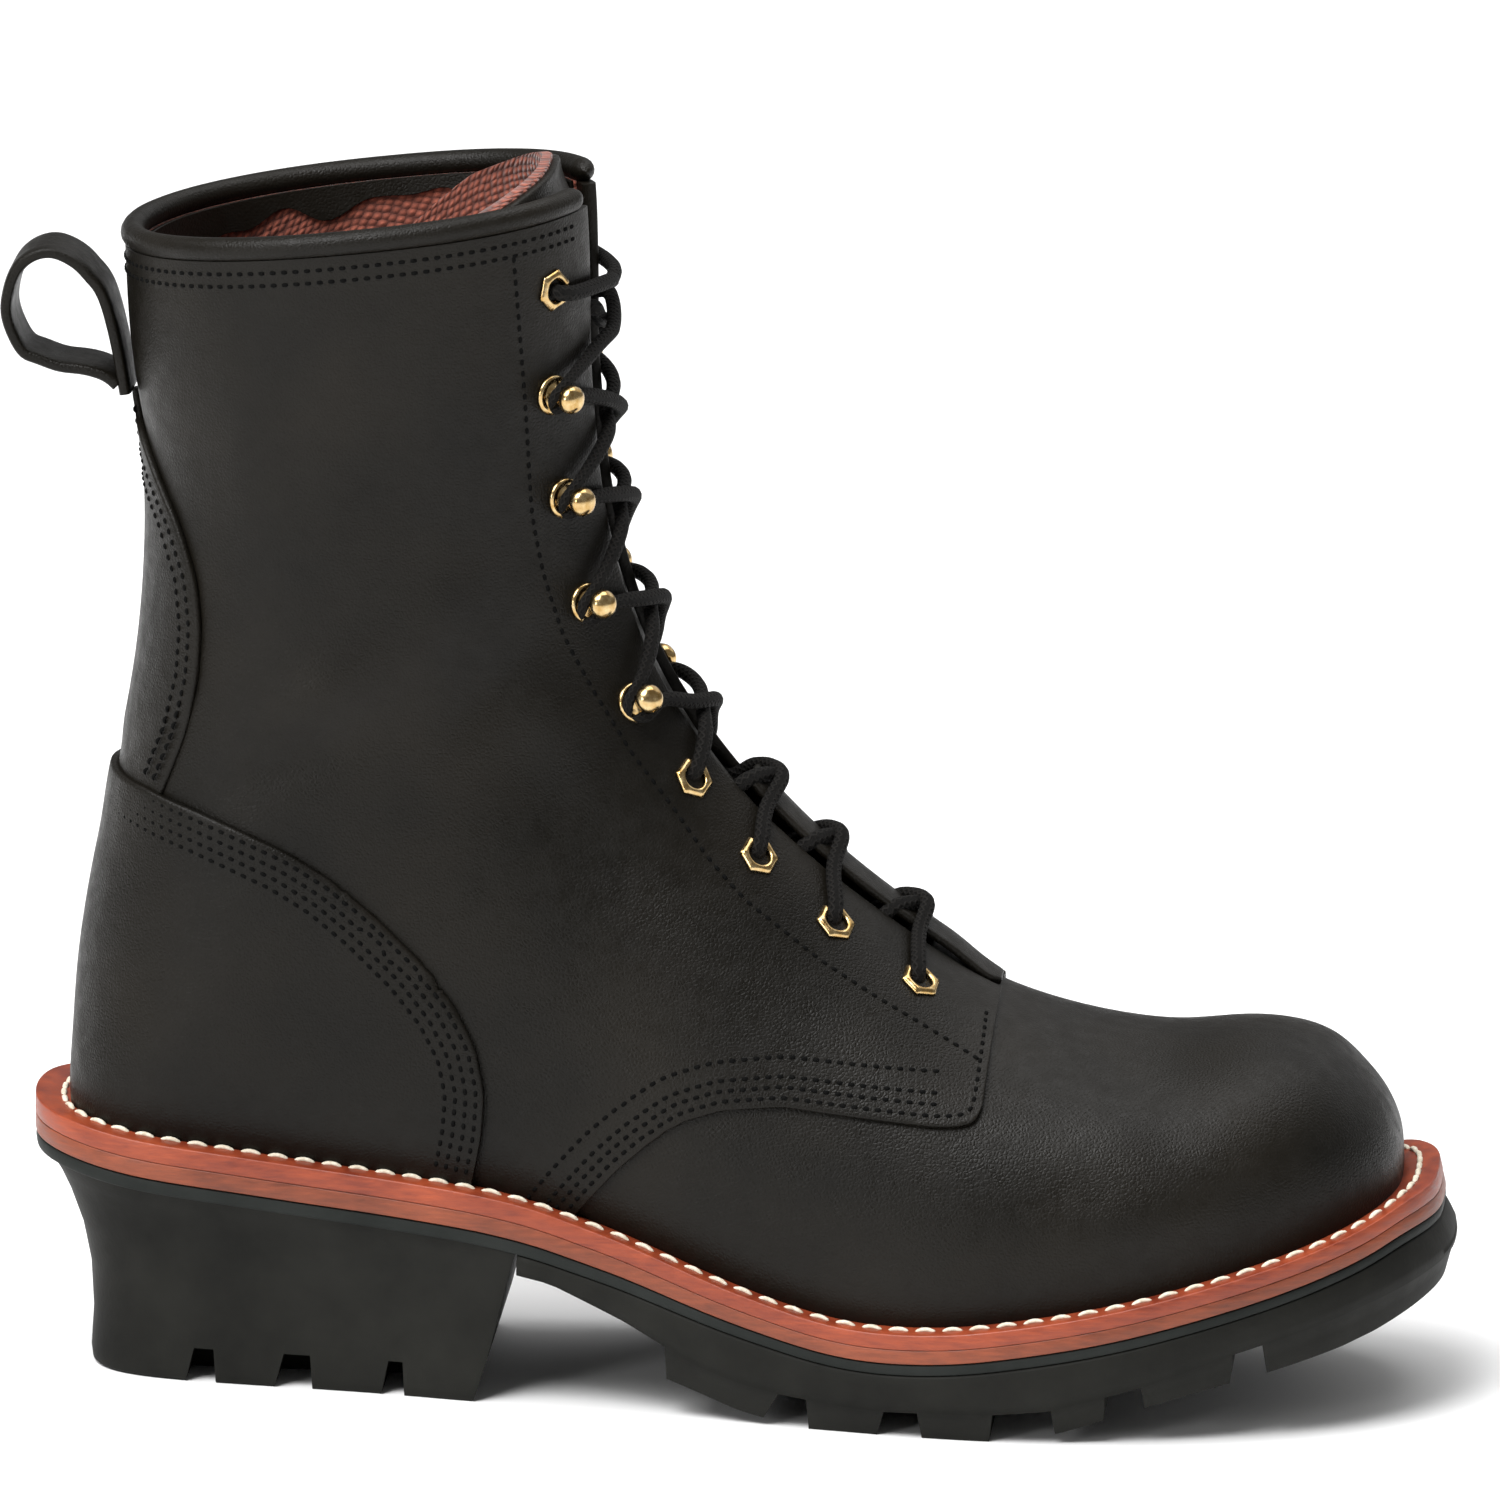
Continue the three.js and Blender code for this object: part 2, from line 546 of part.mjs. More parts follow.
const tongueTurn = (t, share) => TONGUE_TURN[0] + (TONGUE_TURN[1] - TONGUE_TURN[0]) * share
const TONGUE_OUT = -WALL - 2 * GAP
const makeTongue = () =>
  strip(TONGUE_START, COLLAR + TONGUE_ABOVE, 20, tongueTurn, TONGUE_OUT, TONGUE_THICKNESS, 4)
const KILTIE_OUT = QUARTER_STEP + 2 * GAP + KILTIE_THICKNESS
const kiltieTurn = (t) => turnForHalfWidth(t, KILTIE_HALF_WIDTH)
const makeKiltie = () =>
  strip(KILTIE_SPAN[0], KILTIE_SPAN[1], 10, kiltieTurn, KILTIE_OUT, KILTIE_THICKNESS, 4)

// Sole layers: each follows the featherline at its own depth
const level = (reach, depth) => loop(outline(reach), (x) => featherZ(x) - depth)
const inset = (distance) => () => -distance
const weltHole = inset(INSOLE_SEAT - GAP)
const makeWelt = () =>
  loft([level(weltReach, 0), level(weltReach, WELT), level(weltHole, WELT), level(weltHole, 0)], true)
const midsoleTop = WELT + GAP + 0.1
const makeMidsole = () => loft([level(weltReach, midsoleTop), level(weltReach, WELT + MIDSOLE)])
const rubberTop = WELT + MIDSOLE + GAP
const rubberFoot = WELT + MIDSOLE + RUBBER_MIDSOLE
const bandReach = (x) => weltReach(x) - 0.9
const makeRubberMidsole = () => loft([level(weltReach, rubberTop), level(bandReach, rubberFoot)])
const insoleSide = inset(WALL + 2 * GAP)
const makeInsole = () =>
  loft([
    level(inset(INSOLE_SEAT), WELT - GAP),
    level(inset(INSOLE_SEAT), -GAP),
    level(insoleSide, -GAP),
    level(insoleSide, -GAP - INSOLE_RISE),
  ]).intersect(room(WALL + GAP))

// Heel: a block that narrows and curves in towards the floor, with side grooves up to a rib in the middle
function makeHeel() {
  const top = rubberFoot + GAP
  const backX = outline(weltReach).tail
  const undercut = (share, breast) => (x) => {
    const along = Math.min(Math.max((x - backX) / (breast - backX), 0), 1)
    return weltReach(x) - share * BALL_WIDTH * (1 + (HEEL_SIDE_TAPER - 1) * along)
  }
  const rings = HEEL_LEVELS.map(([height, share, breast]) => {
    const limit = breast * UPPER_LENGTH
    const line = outline(undercut(share, limit), -Infinity, limit)
    return loop(line, (x) => height * (featherZ(x) - top))
  })
  return grooved(loft(rings), HEEL_GROOVES, () => HEEL_GROOVE, TREAD_RIB)
}

// Cuts a groove from each side up to the rib
function grooved(body, grooves, roof, rib) {
  let cut = body
  for (const [from, to, roofFrom, roofTo] of grooves) {
    const shape = [[from, -1], [to, -1], [roofTo, 1], [roofFrom, 1]].map(([x, side]) => {
      const along = x * UPPER_LENGTH
      return [along, side < 0 ? -5 : roof(along)]
    })
    cut = cut.subtract(prism(shape, -WIDE, -rib)).subtract(prism(shape, rib, WIDE))
  }
  return cut
}

// Outsole: shank and forepart under the rubber midsole, with lugs down to the floor and a bumper at the toe
function makeOutsole() {
  const start = HEEL_TOP_BREAST * UPPER_LENGTH + GAP
  const lugStart = TREAD[1][0] * UPPER_LENGTH
  const edge = (less) => (x) => weltReach(x) + bumperReach(x) - less
  const topEdge = (x) => bandReach(x) + 0.5 * bumperReach(x)
  const top = (x) => featherZ(x) - rubberFoot - GAP
  const roof = (x) => read(shankCurve, x)
  const plate = loft([
    loop(outline(topEdge, start), top),
    loop(outline(edge(0.9), start), (x) => top(x) * 0.35 + roof(x) * 0.65),
    loop(outline(edge(1.2), start), roof),
  ])
  const tread = loft([
    loop(outline(edge(1.3), lugStart), (x) => roof(x) + 0.8),
    loop(outline(edge(3.2), lugStart + 0.6), (x) => read(treadCurve, x)),
  ])
  return plate.add(grooved(tread, TREAD_GROOVES, roof, TREAD_RIB))
}

// A cord of the given diameter along a path of points
function tube(points, diameter, steps, sides = CORD_SIDES) {
  const circle = new THREE.Shape(Array.from({ length: sides }, (_, k) => {
    const a = (2 * Math.PI * k) / sides
    return new THREE.Vector2((Math.cos(a) * diameter) / 2, (Math.sin(a) * diameter) / 2)
  }))
  const extrudePath = new THREE.CatmullRomCurve3(points, false, 'centripetal')
  return fromGeometry(new THREE.ExtrudeGeometry(circle, { extrudePath, steps }))
}

// Collar roll: leather piping on the collar's edge, from one eyestay round the back to the other
function makeCollarRoll() {
  const points = []
  const start = turnForHalfWidth(COLLAR, THROAT_TOP + 1)
  const middle = (QUARTER_STEP - WALL) / 2
  for (let k = 0; k <= COLLAR_STEPS; k++) {
    const turn = start + ((2 * Math.PI - 2 * start) * k) / COLLAR_STEPS
    const edge = shell(COLLAR, turn, middle)
    const up = edge.clone().sub(shell(COLLAR - 0.3, turn, middle)).normalize()
    points.push(edge.addScaledVector(up, COLLAR_ROLL / 2 + 2 * GAP))
  }
  return tube(points, COLLAR_ROLL, COLLAR_STEPS, 8)
}

// Pull loop: a leather strap sewn to the back under the collar, bent out and round to its own foot
function makePullLoop() {
  const strap = (table) => {
    const points = spread(table).map(([x, z]) => new THREE.Vector3(x, 0, z))
    const curve = new THREE.CatmullRomCurve3(points, false, 'centripetal')
    const steps = 16
    const half = LOOP_WIDTH / 2
    const rings = Array.from({ length: steps + 1 }, (_, i) => {
      const middle = curve.getPointAt(i / steps)
      const along = curve.getTangentAt(i / steps)
      const side = new THREE.Vector3(-along.z, 0, along.x).multiplyScalar(LOOP_THICKNESS / 2)
      const corner = (sign, y) => middle.clone().addScaledVector(side, sign).setY(y)
      return [corner(1, -half), corner(1, half), corner(-1, half), corner(-1, -half)]
    })
    return loft(rings)
  }
  return strap(PULL_LOOP_ABOVE).add(strap(PULL_LOOP_BELOW)).subtract(form(QUARTER_STEP + GAP))
}

// Eyelet: a flanged barrel, turned about the wall's outward direction
function eyeletGeometry() {
  const bore = EYELET_BORE / 2
  const barrel = bore + BARREL_WALL
  const foot = -WALL - QUARTER_STEP
  const rim = EYELET_FLANGE / 2
  const top = GAP + EYELET_PLATE
  const points = [[bore, foot], [barrel, foot], [barrel, GAP], [rim, GAP], [rim - 0.5, top], [bore, top]]
  return new THREE.LatheGeometry([...points, points[0]].map(([r, h]) => new THREE.Vector2(r, h)), ROUND)
}

// Speed hook: a riveted disc, a neck and a domed head
function hookGeometry() {
  const base = HOOK_BASE / 2
  const head = HOOK_HEAD / 2
  const points = [
    [0, GAP], [base, GAP], [base - 0.4, GAP + 0.9], [1.6, GAP + 1.3],
    [1.6, HOOK_RISE - head + 0.4], [head, HOOK_RISE - 0.3], [head * 0.7, HOOK_RISE + 1.7],
    [0, HOOK_RISE + 2.2],
  ]
  return new THREE.LatheGeometry(points.map(([r, h]) => new THREE.Vector2(r, h)), ROUND)
}

// Lace: two strands that cross from side to side, joined where they cross and over each eyelet and hook
function makeLace() {
  const eyelets = EYELETS.map((e) => [...e, 0])
  const hooks = HOOKS.map((h) => [...h, 1])
  const rows = [...eyelets.slice(0, 4), ...hooks, eyelets[4]]
  const radius = LACE / 2
  const seat = QUARTER_STEP + GAP + EYELET_PLATE + GAP + radius + 0.2
  const hookTurn = (t, turn) => turn - (radius + 1.7 + 0.9) / (fan(t)[5] * 0.9)
  const turnOf = ([t, turn, hook]) => (hook ? hookTurn(t, turn) : turn)
  const heightOf = ([, , hook]) => (hook ? QUARTER_STEP + radius + 0.6 : seat)
  const corner = (row, side) => shell(row[0], side * turnOf(row), heightOf(row))
  const onKiltie = KILTIE_OUT + radius + GAP + 0.3
  const onTongue = QUARTER_STEP + radius + 1.4
  const bridge = (t) => (t < KILTIE_SPAN[1] + 0.6 ? onKiltie : onTongue)
  const strand = (a, b) => {
    const [ta, tb] = [a.row[0], b.row[0]]
    const at = (share) => ta + (tb - ta) * share
    const over = (share, side, turn) => shell(at(share), side * turn, bridge(at(share)))
    const near = turnForHalfWidth((ta + tb) / 2, THROAT_TOP)
    const half = (row, side, share) => shell(at(share), (side * (turnOf(row) + near)) / 2, seat + 0.3)
    const points = [
      corner(a.row, a.side), half(a.row, a.side, 0.25), over(0.52, a.side, near), over(CROSSING, 1, 0),
      over(0.9, b.side, near), half(b.row, b.side, 0.96), corner(b.row, b.side),
    ]
    return tube(points, LACE, 6)
  }
  let lace = strand({ row: rows[0], side: 1 }, { row: rows[0], side: -1 })
  for (let i = 0; i + 1 < rows.length; i++) {
    for (const side of [1, -1]) {
      lace = lace.add(strand({ row: rows[i], side }, { row: rows[i + 1], side: -side }))
    }
  }
  const top = rows[rows.length - 1]
  return lace.add(strand({ row: top, side: 1 }, { row: top, side: -1 }))
}

// Scene graph
const LEATHER = { color: 0x262524, roughness: 0.5, metalness: 0 }
const BRASS = { color: 0xc9a56a, roughness: 0.3, metalness: 1 }
const group = new THREE.Group()

function place(name, body, look) {
  const mesh = body.getMesh()
  const geometry = new THREE.BufferGeometry()
  geometry.setAttribute('position', new THREE.BufferAttribute(mesh.vertProperties.slice(), 3))
  geometry.setIndex(new THREE.BufferAttribute(mesh.triVerts.slice(), 1))
  geometry.computeVertexNormals()
  const node = new THREE.Mesh(geometry, new THREE.MeshStandardMaterial(look))
  node.name = name
  group.add(node)
}

place('outsole', makeOutsole(), { color: 0x202022, roughness: 0.8, metalness: 0 })
place('heel', makeHeel(), { color: 0x202022, roughness: 0.8, metalness: 0 })
place('rubber_midsole', makeRubberMidsole(), { color: 0x2c3032, roughness: 0.75, metalness: 0 })
place('midsole', makeMidsole(), { color: 0x7a4a30, roughness: 0.6, metalness: 0 })
place('welt', makeWelt(), { color: 0xa5502f, roughness: 0.55, metalness: 0 })
place('insole', makeInsole(), { color: 0xb08a60, roughness: 0.8, metalness: 0 })
place('upper', makeUpper(), LEATHER)
place('tongue', makeTongue(), LEATHER)
place('counter', makeCounter(), LEATHER)
place('backstay', makeBackstay(), LEATHER)
place('collar_roll', makeCollarRoll(), LEATHER)
place('pull_loop', makePullLoop(), LEATHER)
place('kiltie', makeKiltie(), LEATHER)
for (const { i, side, seat } of eyeletSeats) {
  place(`eyelet_${EYELET_NAMES[i]}_${side}`, fromGeometry(standing(eyeletGeometry(), seat)), BRASS)
}
for (const { i, side, seat } of hookSeats) {
  place(`hook_${i + 5}_${side}`, fromGeometry(standing(hookGeometry(), seat)), BRASS)
}
place('lace', makeLace(), { color: 0x151515, roughness: 0.9, metalness: 0 })

export default group
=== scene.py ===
"""Right logger boot in black leather, photographed from its outer side. Millimetres in the formulas, metres in meshes."""

import bpy
import numpy as np
from mathutils import Matrix, Vector


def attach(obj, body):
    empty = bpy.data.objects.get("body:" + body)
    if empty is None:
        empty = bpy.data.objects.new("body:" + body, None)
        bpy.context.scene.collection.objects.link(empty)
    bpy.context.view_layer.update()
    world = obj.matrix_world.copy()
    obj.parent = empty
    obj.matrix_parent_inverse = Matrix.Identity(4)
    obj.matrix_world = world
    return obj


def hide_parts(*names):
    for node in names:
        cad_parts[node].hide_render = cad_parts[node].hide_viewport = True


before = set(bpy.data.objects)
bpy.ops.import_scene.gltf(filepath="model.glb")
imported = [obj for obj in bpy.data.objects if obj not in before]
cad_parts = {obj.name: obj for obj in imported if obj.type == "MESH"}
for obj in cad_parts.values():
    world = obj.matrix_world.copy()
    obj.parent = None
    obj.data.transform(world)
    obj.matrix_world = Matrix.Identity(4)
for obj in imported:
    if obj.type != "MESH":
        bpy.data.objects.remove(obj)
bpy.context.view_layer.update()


# The last's form
# A boot is pulled over a last, so every panel below lies on this one form. Its sections fan out from the toe
# to the collar like pages of a book, and each is a rounded oval between a front point and a back point.
# Columns: front x, front z, back x, back z, share down to the widest place, outer half width,
# inner half width, ridge y, roundness above and below.
SECTIONS = np.array([
    [247.2, 47, 247.2, 45, 0.5, 1, 1, 5, 2, 2],
    [246.9, 56, 246.9, 42, 0.5, 10.5, 10.5, 5, 2.1, 2.6],
    [245.5, 62, 245.5, 40, 0.55, 18.5, 18, 5, 2.15, 3],
    [242.5, 67.6, 242.5, 37, 0.58, 26, 24.5, 4.9, 2.2, 3.4],
    [238, 72.8, 238, 34, 0.6, 33, 30.5, 4.7, 2.25, 3.6],
    [231.5, 78.3, 231.5, 31, 0.62, 39.5, 35.8, 4.4, 2.3, 3.8],
    [222.5, 81.4, 222.5, 28, 0.63, 45.6, 40.3, 4, 2.3, 4],
    [210.5, 81.9, 210.5, 24, 0.63, 50.6, 43.2, 3.5, 2.3, 4],
    [197, 80.8, 197, 20.5, 0.63, 54.2, 44.6, 3, 2.25, 4],
    [182.5, 82.2, 182, 17.5, 0.64, 56.4, 45, 2.6, 2.2, 4],
    [168.5, 85.7, 165.5, 14.5, 0.65, 57, 44.4, 2.2, 2.1, 4],
    [153.5, 91.8, 146, 12.8, 0.66, 56, 43.2, 1.8, 2, 4],
    [138, 101.6, 124.5, 13.5, 0.66, 52.4, 41.4, 1.4, 1.95, 4],
    [123, 112.8, 100, 20, 0.66, 47.6, 39.2, 1, 1.9, 3.9],
    [110, 124.3, 73, 31, 0.64, 42.6, 37.2, 0.7, 1.9, 3.8],
    [99.2, 136, 44, 38, 0.6, 38.8, 35.8, 0.4, 1.9, 3.7],
    [90, 148.5, 14, 42, 0.56, 36.4, 34.9, 0.2, 1.95, 3.6],
    [82.6, 161.3, -20, 44, 0.53, 35.2, 34.3, 0, 2, 3.4],
    [76.8, 174.5, -42, 51, 0.51, 34.8, 34.2, 0, 2.1, 3.1],
    [72.6, 187, -44.6, 72, 0.5, 34.9, 34.5, 0, 2.15, 2.6],
    [69.7, 198.5, -43.3, 91, 0.49, 35.4, 35, 0, 2.2, 2.35],
    [67.8, 209, -40.4, 111, 0.48, 36, 35.8, 0, 2.25, 2.2],
    [66.6, 219, -36.8, 129, 0.48, 36.9, 36.7, 0, 2.3, 2.15],
    [65.7, 228, -33.4, 147, 0.48, 37.8, 37.7, 0, 2.3, 2.15],
    [65.3, 236.5, -31, 165, 0.48, 38.8, 38.7, 0, 2.3, 2.15],
    [65.1, 244.5, -30, 184.5, 0.48, 40, 39.9, 0, 2.3, 2.15],
    [64.8, 251.5, -31, 204.5, 0.48, 41.3, 41.2, 0, 2.3, 2.15],
    [64.5, 258, -34.8, 226, 0.48, 42.8, 42.7, 0, 2.3, 2.15],
    [64, 264, -36.8, 251, 0.48, 44.3, 44.2, 0, 2.3, 2.15],
])
# The last section, at the collar
COLLAR = 28.0
# Top edge of the welt seen from the side: x and z
FEATHERLINE = np.array([
    [-62, 61], [-56, 60.3], [-45, 58.6], [-30, 56.3], [-12, 54.4], [8, 52.2], [33, 49.6], [47, 47.8],
    [58, 45.5], [68, 42.4], [80, 38.4], [96, 32.4], [111, 27.6], [124, 24.5], [137, 23.5], [151, 24.2],
    [164, 26], [180, 28.9], [196, 32.6], [215, 37.8], [230, 42.4], [242, 46.7], [250, 49.9], [262, 51.9],
])
# Soft creases of the worn leather, listed one by one: x, z, side (-1 outer, 1 inner, 0 both), half length,
# half width, angle in degrees from +X, and height of the ridge (a trough is below zero)
CREASES = np.array([
    [10, 158, -1, 15, 7, 35, 1.5], [4, 143, -1, 16, 6, 25, -1.5],
    [36, 176, -1, 13, 8, 60, 1.4], [47, 160, -1, 14, 6, 50, -1.2],
    [60, 150, -1, 12, 7, 125, 1.1], [-6, 210, -1, 7, 24, 8, 0.9],
    [26, 203, -1, 9, 24, 5, -0.9], [45, 218, -1, 8, 16, 5, 0.8],
    [88, 104, -1, 20, 9, 140, 1], [70, 122, -1, 22, 8, 135, -0.9],
    [188, 62, -1, 16, 9, 110, 0.5], [194, 48, -1, 15, 6, 12, 0.5],
    [178, 55, -1, 20, 7, 20, -0.5], [18, 104, -1, 20, 9, 100, 0.5],
    [12, 150, 1, 16, 7, 30, 1.3], [40, 168, 1, 15, 7, 55, -1.2],
    [20, 205, 1, 12, 24, 5, 0.8], [86, 100, 1, 20, 9, 140, 0.9],
])


def spline(rows, t):
    """The natural cubic spline through rows at 0, 1, 2 and so on, read at t (an array of any shape)."""
    rows = np.asarray(rows, float)
    n = len(rows)
    inside = np.arange(1, n - 1)
    system, right = np.eye(n), np.zeros_like(rows)
    system[inside, inside - 1] = system[inside, inside + 1] = 1
    system[inside, inside] = 4
    right[1:-1] = 6 * (rows[2:] - 2 * rows[1:-1] + rows[:-2])
    bends = np.linalg.solve(system, right)
    i = np.clip(np.floor(t).astype(int), 0, n - 2)
    u = (t - i)[..., None]
    a, b = bends[i], bends[i + 1]
    return (a * (1 - u) ** 3 + b * u ** 3) / 6 + (rows[i] - a / 6) * (1 - u) + (rows[i + 1] - b / 6) * u


FEATHER = spline(FEATHERLINE, np.linspace(0, len(FEATHERLINE) - 1, 800))


def feather_z(x):
    """Height of the featherline over x."""
    return np.interp(x, FEATHER[:, 0], FEATHER[:, 1])


def form(t, turn):
    """Point of the form: t is the section, turn goes from the front line (0) round the outer side to the back (pi).
    Above the widest place a section is the curve |y|^p + |down|^p = 1, below it the same with its own p.
    Past the collar it runs straight up, 6 mm for each whole t."""
    t, turn = np.broadcast_arrays(np.asarray(t, float), np.asarray(turn, float))
    past = np.maximum(t - COLLAR, 0)
    fx, fz, bx, bz, wide, outer, inner, ridge, above, below = np.moveaxis(spline(SECTIONS, t - past), -1, 0)
    sine, cosine = np.sin(turn), np.cos(turn)
    power = np.where(cosine >= 0, above, below)
    along = np.abs(cosine) ** (2 / power)
    down = np.where(cosine >= 0, wide * (1 - along), wide + (1 - wide) * along)
    y = ridge + np.where(sine >= 0, -outer, inner) * np.abs(sine) ** (2 / power)
    return np.stack([fx + (bx - fx) * down, y, fz + (bz - fz) * down + 6 * past], -1)


def unit(v):
    """v scaled to length 1."""
    return v / np.maximum(np.linalg.norm(v, axis=-1, keepdims=True), 1e-9)


def outward(t, turn):
    """Outward direction of the form, from its slopes along t and turn."""
    t, turn = np.broadcast_arrays(np.asarray(t, float), np.asarray(turn, float))
    middle = np.clip(t, 0.06, len(SECTIONS) - 1.06)
    along = form(middle + 0.05, turn) - form(middle - 0.05, turn)
    around = form(t, turn + 0.05) - form(t, turn - 0.05)
    return -unit(np.cross(around, along))


def crease(p):
    """Height of the soft creases at points p: each is a bell curve along and across its own line."""
    total = np.zeros(p.shape[:-1])
    for x, z, side, length, width, angle, height in CREASES:
        c, s = np.cos(np.radians(angle)), np.sin(np.radians(angle))
        a = ((p[..., 0] - x) * c + (p[..., 2] - z) * s) / length
        b = (-(p[..., 0] - x) * s + (p[..., 2] - z) * c) / width
        near = 0.5 + 0.5 * np.tanh(side * p[..., 1] / 6) if side else 1.0
        total += height * np.exp(-a ** 2 - b ** 2) * near
    return total


def on_form(t, turn, height):
    """Points at a height above the creased form."""
    p = form(t, turn)
    return p + outward(t, turn) * (height + crease(p))[..., None]


def crossing(t, depth):
    """Turn at which each section t passes depth below the featherline, outer side and inner side."""
    known = np.linspace(0, COLLAR, 561)
    turns = np.linspace(0, np.pi, 721)
    found = []
    for side in (1, -1):
        p = form(known[:, None], side * turns[None])
        over = p[..., 2] - feather_z(p[..., 0]) + depth
        k = np.clip((over < 0).argmax(1), 1, 720)
        a, b = over[np.arange(561), k - 1], over[np.arange(561), k]
        at = turns[k - 1] + (turns[k] - turns[k - 1]) * np.clip(a / np.where(a == b, 1, a - b), 0, 1)
        found.append(np.interp(t, known, np.where((over < 0).any(1), at, np.pi)))
    return found


def lengths(p, axis=0):
    """Running length along one axis of a line or grid of points."""
    step = np.linalg.norm(np.diff(p, axis=axis), axis=-1)
    return np.cumsum(np.concatenate([np.zeros_like(np.take(step, [0], axis)), step], axis), axis)


def read_at(places, run, points):
    """Points that lie at the running lengths run, read at other places."""
    return np.stack([np.interp(places, run, column) for column in points.T], -1)


def blurred(points, bell):
    """Points averaged along their line under a bell curve."""
    return np.stack([np.convolve(column, bell / bell.sum(), "valid") for column in points.T], -1)


def soft_line(points, n=300, spread=0.05):
    """A smooth line through rough points: n even places along it, each the mean of its neighbourhood (a bell
    curve with a width of spread times the whole), with both ends kept."""
    points = np.asarray(points, float)
    run = lengths(points)
    line = read_at(np.linspace(0, run[-1], n), run, points)
    half = int(3 * spread * n)
    longer = np.concatenate([2 * line[0] - line[half:0:-1], line, 2 * line[-1] - line[-2:-half - 2:-1]])
    return blurred(longer, np.exp(-0.5 * (np.arange(-half, half + 1) / (spread * n)) ** 2))


def seen_at(line, side):
    """The [t, turn] pairs of the form's side (1 outer, -1 inner) that lie at the line's [x, z] pairs: the nearest
    of a grid of samples, then four steps of Newton's method."""
    t, turn = (v.ravel() for v in np.meshgrid(np.linspace(9.5, COLLAR, 260), np.linspace(0.02, 3.12, 200)))
    known = form(t, turn)[:, ::2]
    nearest = ((known[None] - line[:, None]) ** 2).sum(-1).argmin(1)
    t, turn = t[nearest], turn[nearest]
    for _ in range(4):
        here = form(t, turn)[:, ::2]
        by_t = (form(t + 0.01, turn)[:, ::2] - here) / 0.01
        by_turn = (form(t, turn + 0.01)[:, ::2] - here) / 0.01
        gap = line - here
        area = by_t[:, 0] * by_turn[:, 1] - by_t[:, 1] * by_turn[:, 0]
        area = np.where(np.abs(area) < 1, np.sign(area + 1e-9), area)
        t = t + np.clip((gap[:, 0] * by_turn[:, 1] - gap[:, 1] * by_turn[:, 0]) / area, -0.05, 0.05)
        turn = turn + np.clip((by_t[:, 0] * gap[:, 1] - by_t[:, 1] * gap[:, 0]) / area, -0.03, 0.03)
    return np.stack([np.clip(t, 0, COLLAR), side * np.clip(turn, 0, np.pi)], -1)


# Vamp
# The front of the upper: one piece of black full-grain leather lasted over the toe and closed under the
# quarters. The black leather of all panels is drummed smooth with a fine grain and a soft waxy sheen.
def srgb(code):
    """Linear colour of a hex code."""
    c = np.array([int(code[i:i + 2], 16) / 255 for i in (1, 3, 5)])
    return (*np.where(c <= 0.04045, c / 12.92, ((c + 0.055) / 1.055) ** 2.4), 1.0)


def add(tree, kind, links=None, **values):
    """Adds a node, sets its options and constant inputs by name, and joins links {input: output socket}."""
    n = tree.nodes.new(kind)
    for key, value in values.items():
        if key in n.bl_rna.properties:
            setattr(n, key, value)
        else:
            n.inputs[key.replace("_", " ")].default_value = value
    for key, output in (links or {}).items():
        tree.links.new(output, n.inputs[key])
    return n


def blank(name, roughness, ior=1.5, metallic=0.0, specular=0.5, uv=False):
    """A new material: its node tree, its shader, and the place on it, in object space or in mm of uv."""
    material = bpy.data.materials.new(name)
    material.use_nodes = True
    tree = material.node_tree
    tree.nodes.clear()
    shader = add(tree, "ShaderNodeBsdfPrincipled", Roughness=roughness, IOR=ior, Metallic=metallic,
                 Specular_IOR_Level=specular)
    add(tree, "ShaderNodeOutputMaterial", {"Surface": shader.outputs["BSDF"]})
    if uv:
        return material, tree, shader, add(tree, "ShaderNodeUVMap", uv_map="mm").outputs["UV"]
    return material, tree, shader, add(tree, "ShaderNodeTexCoord").outputs["Object"]


def noise(tree, place, scale, detail, roughness=0.5):
    """Soft noise between 0 and 1."""
    return add(tree, "ShaderNodeTexNoise", {"Vector": place}, Scale=scale, Detail=detail,
               Roughness=roughness).outputs["Fac"]


def ramp(tree, source, low, high, first, second):
    """A colour, from hex codes, or a grey, from numbers, that runs from first at low to second at high."""
    n = add(tree, "ShaderNodeValToRGB", {"Fac": source})
    for stop, place, value in zip(n.color_ramp.elements, (low, high), (first, second)):
        stop.position = place
        stop.color = srgb(value) if isinstance(value, str) else (value, value, value, 1.0)
    return n.outputs["Color"]


def paint(tree, shader, socket, *stops):
    """A ramp joined to a socket of the shader."""
    tree.links.new(ramp(tree, *stops), shader.inputs[socket])


def emboss(tree, shader, height, strength, distance):
    """A bump joined to the shader, over the bump that it has."""
    bump = add(tree, "ShaderNodeBump", {"Height": height}, Strength=strength, Distance=distance)
    normal = shader.inputs["Normal"]
    if normal.is_linked:
        tree.links.new(normal.links[0].from_socket, bump.inputs["Normal"])
    tree.links.new(bump.outputs["Normal"], normal)


def leather(name, dark, light, rough, pebble=0.9, depth=0.00016):
    """Leather with a cell grain of the given pebble size in mm, pores, and slow changes of colour and gloss."""
    material, tree, shader, place = blank(name, rough, 1.4, specular=0.26)
    cells = add(tree, "ShaderNodeTexVoronoi", {"Vector": place}, Scale=1000 / pebble, feature="DISTANCE_TO_EDGE")
    bends = noise(tree, place, 260.0, 6.0, 0.62)
    paint(tree, shader, "Base Color", noise(tree, place, 22.0, 3.0), 0.36, 0.68, dark, light)
    paint(tree, shader, "Roughness", bends, 0.3, 0.75, rough - 0.06, rough + 0.14)
    emboss(tree, shader, ramp(tree, cells.outputs["Distance"], 0.0, 0.32, 0.0, 1.0), 0.35, depth)
    emboss(tree, shader, bends, 0.22, depth * 2)
    return material


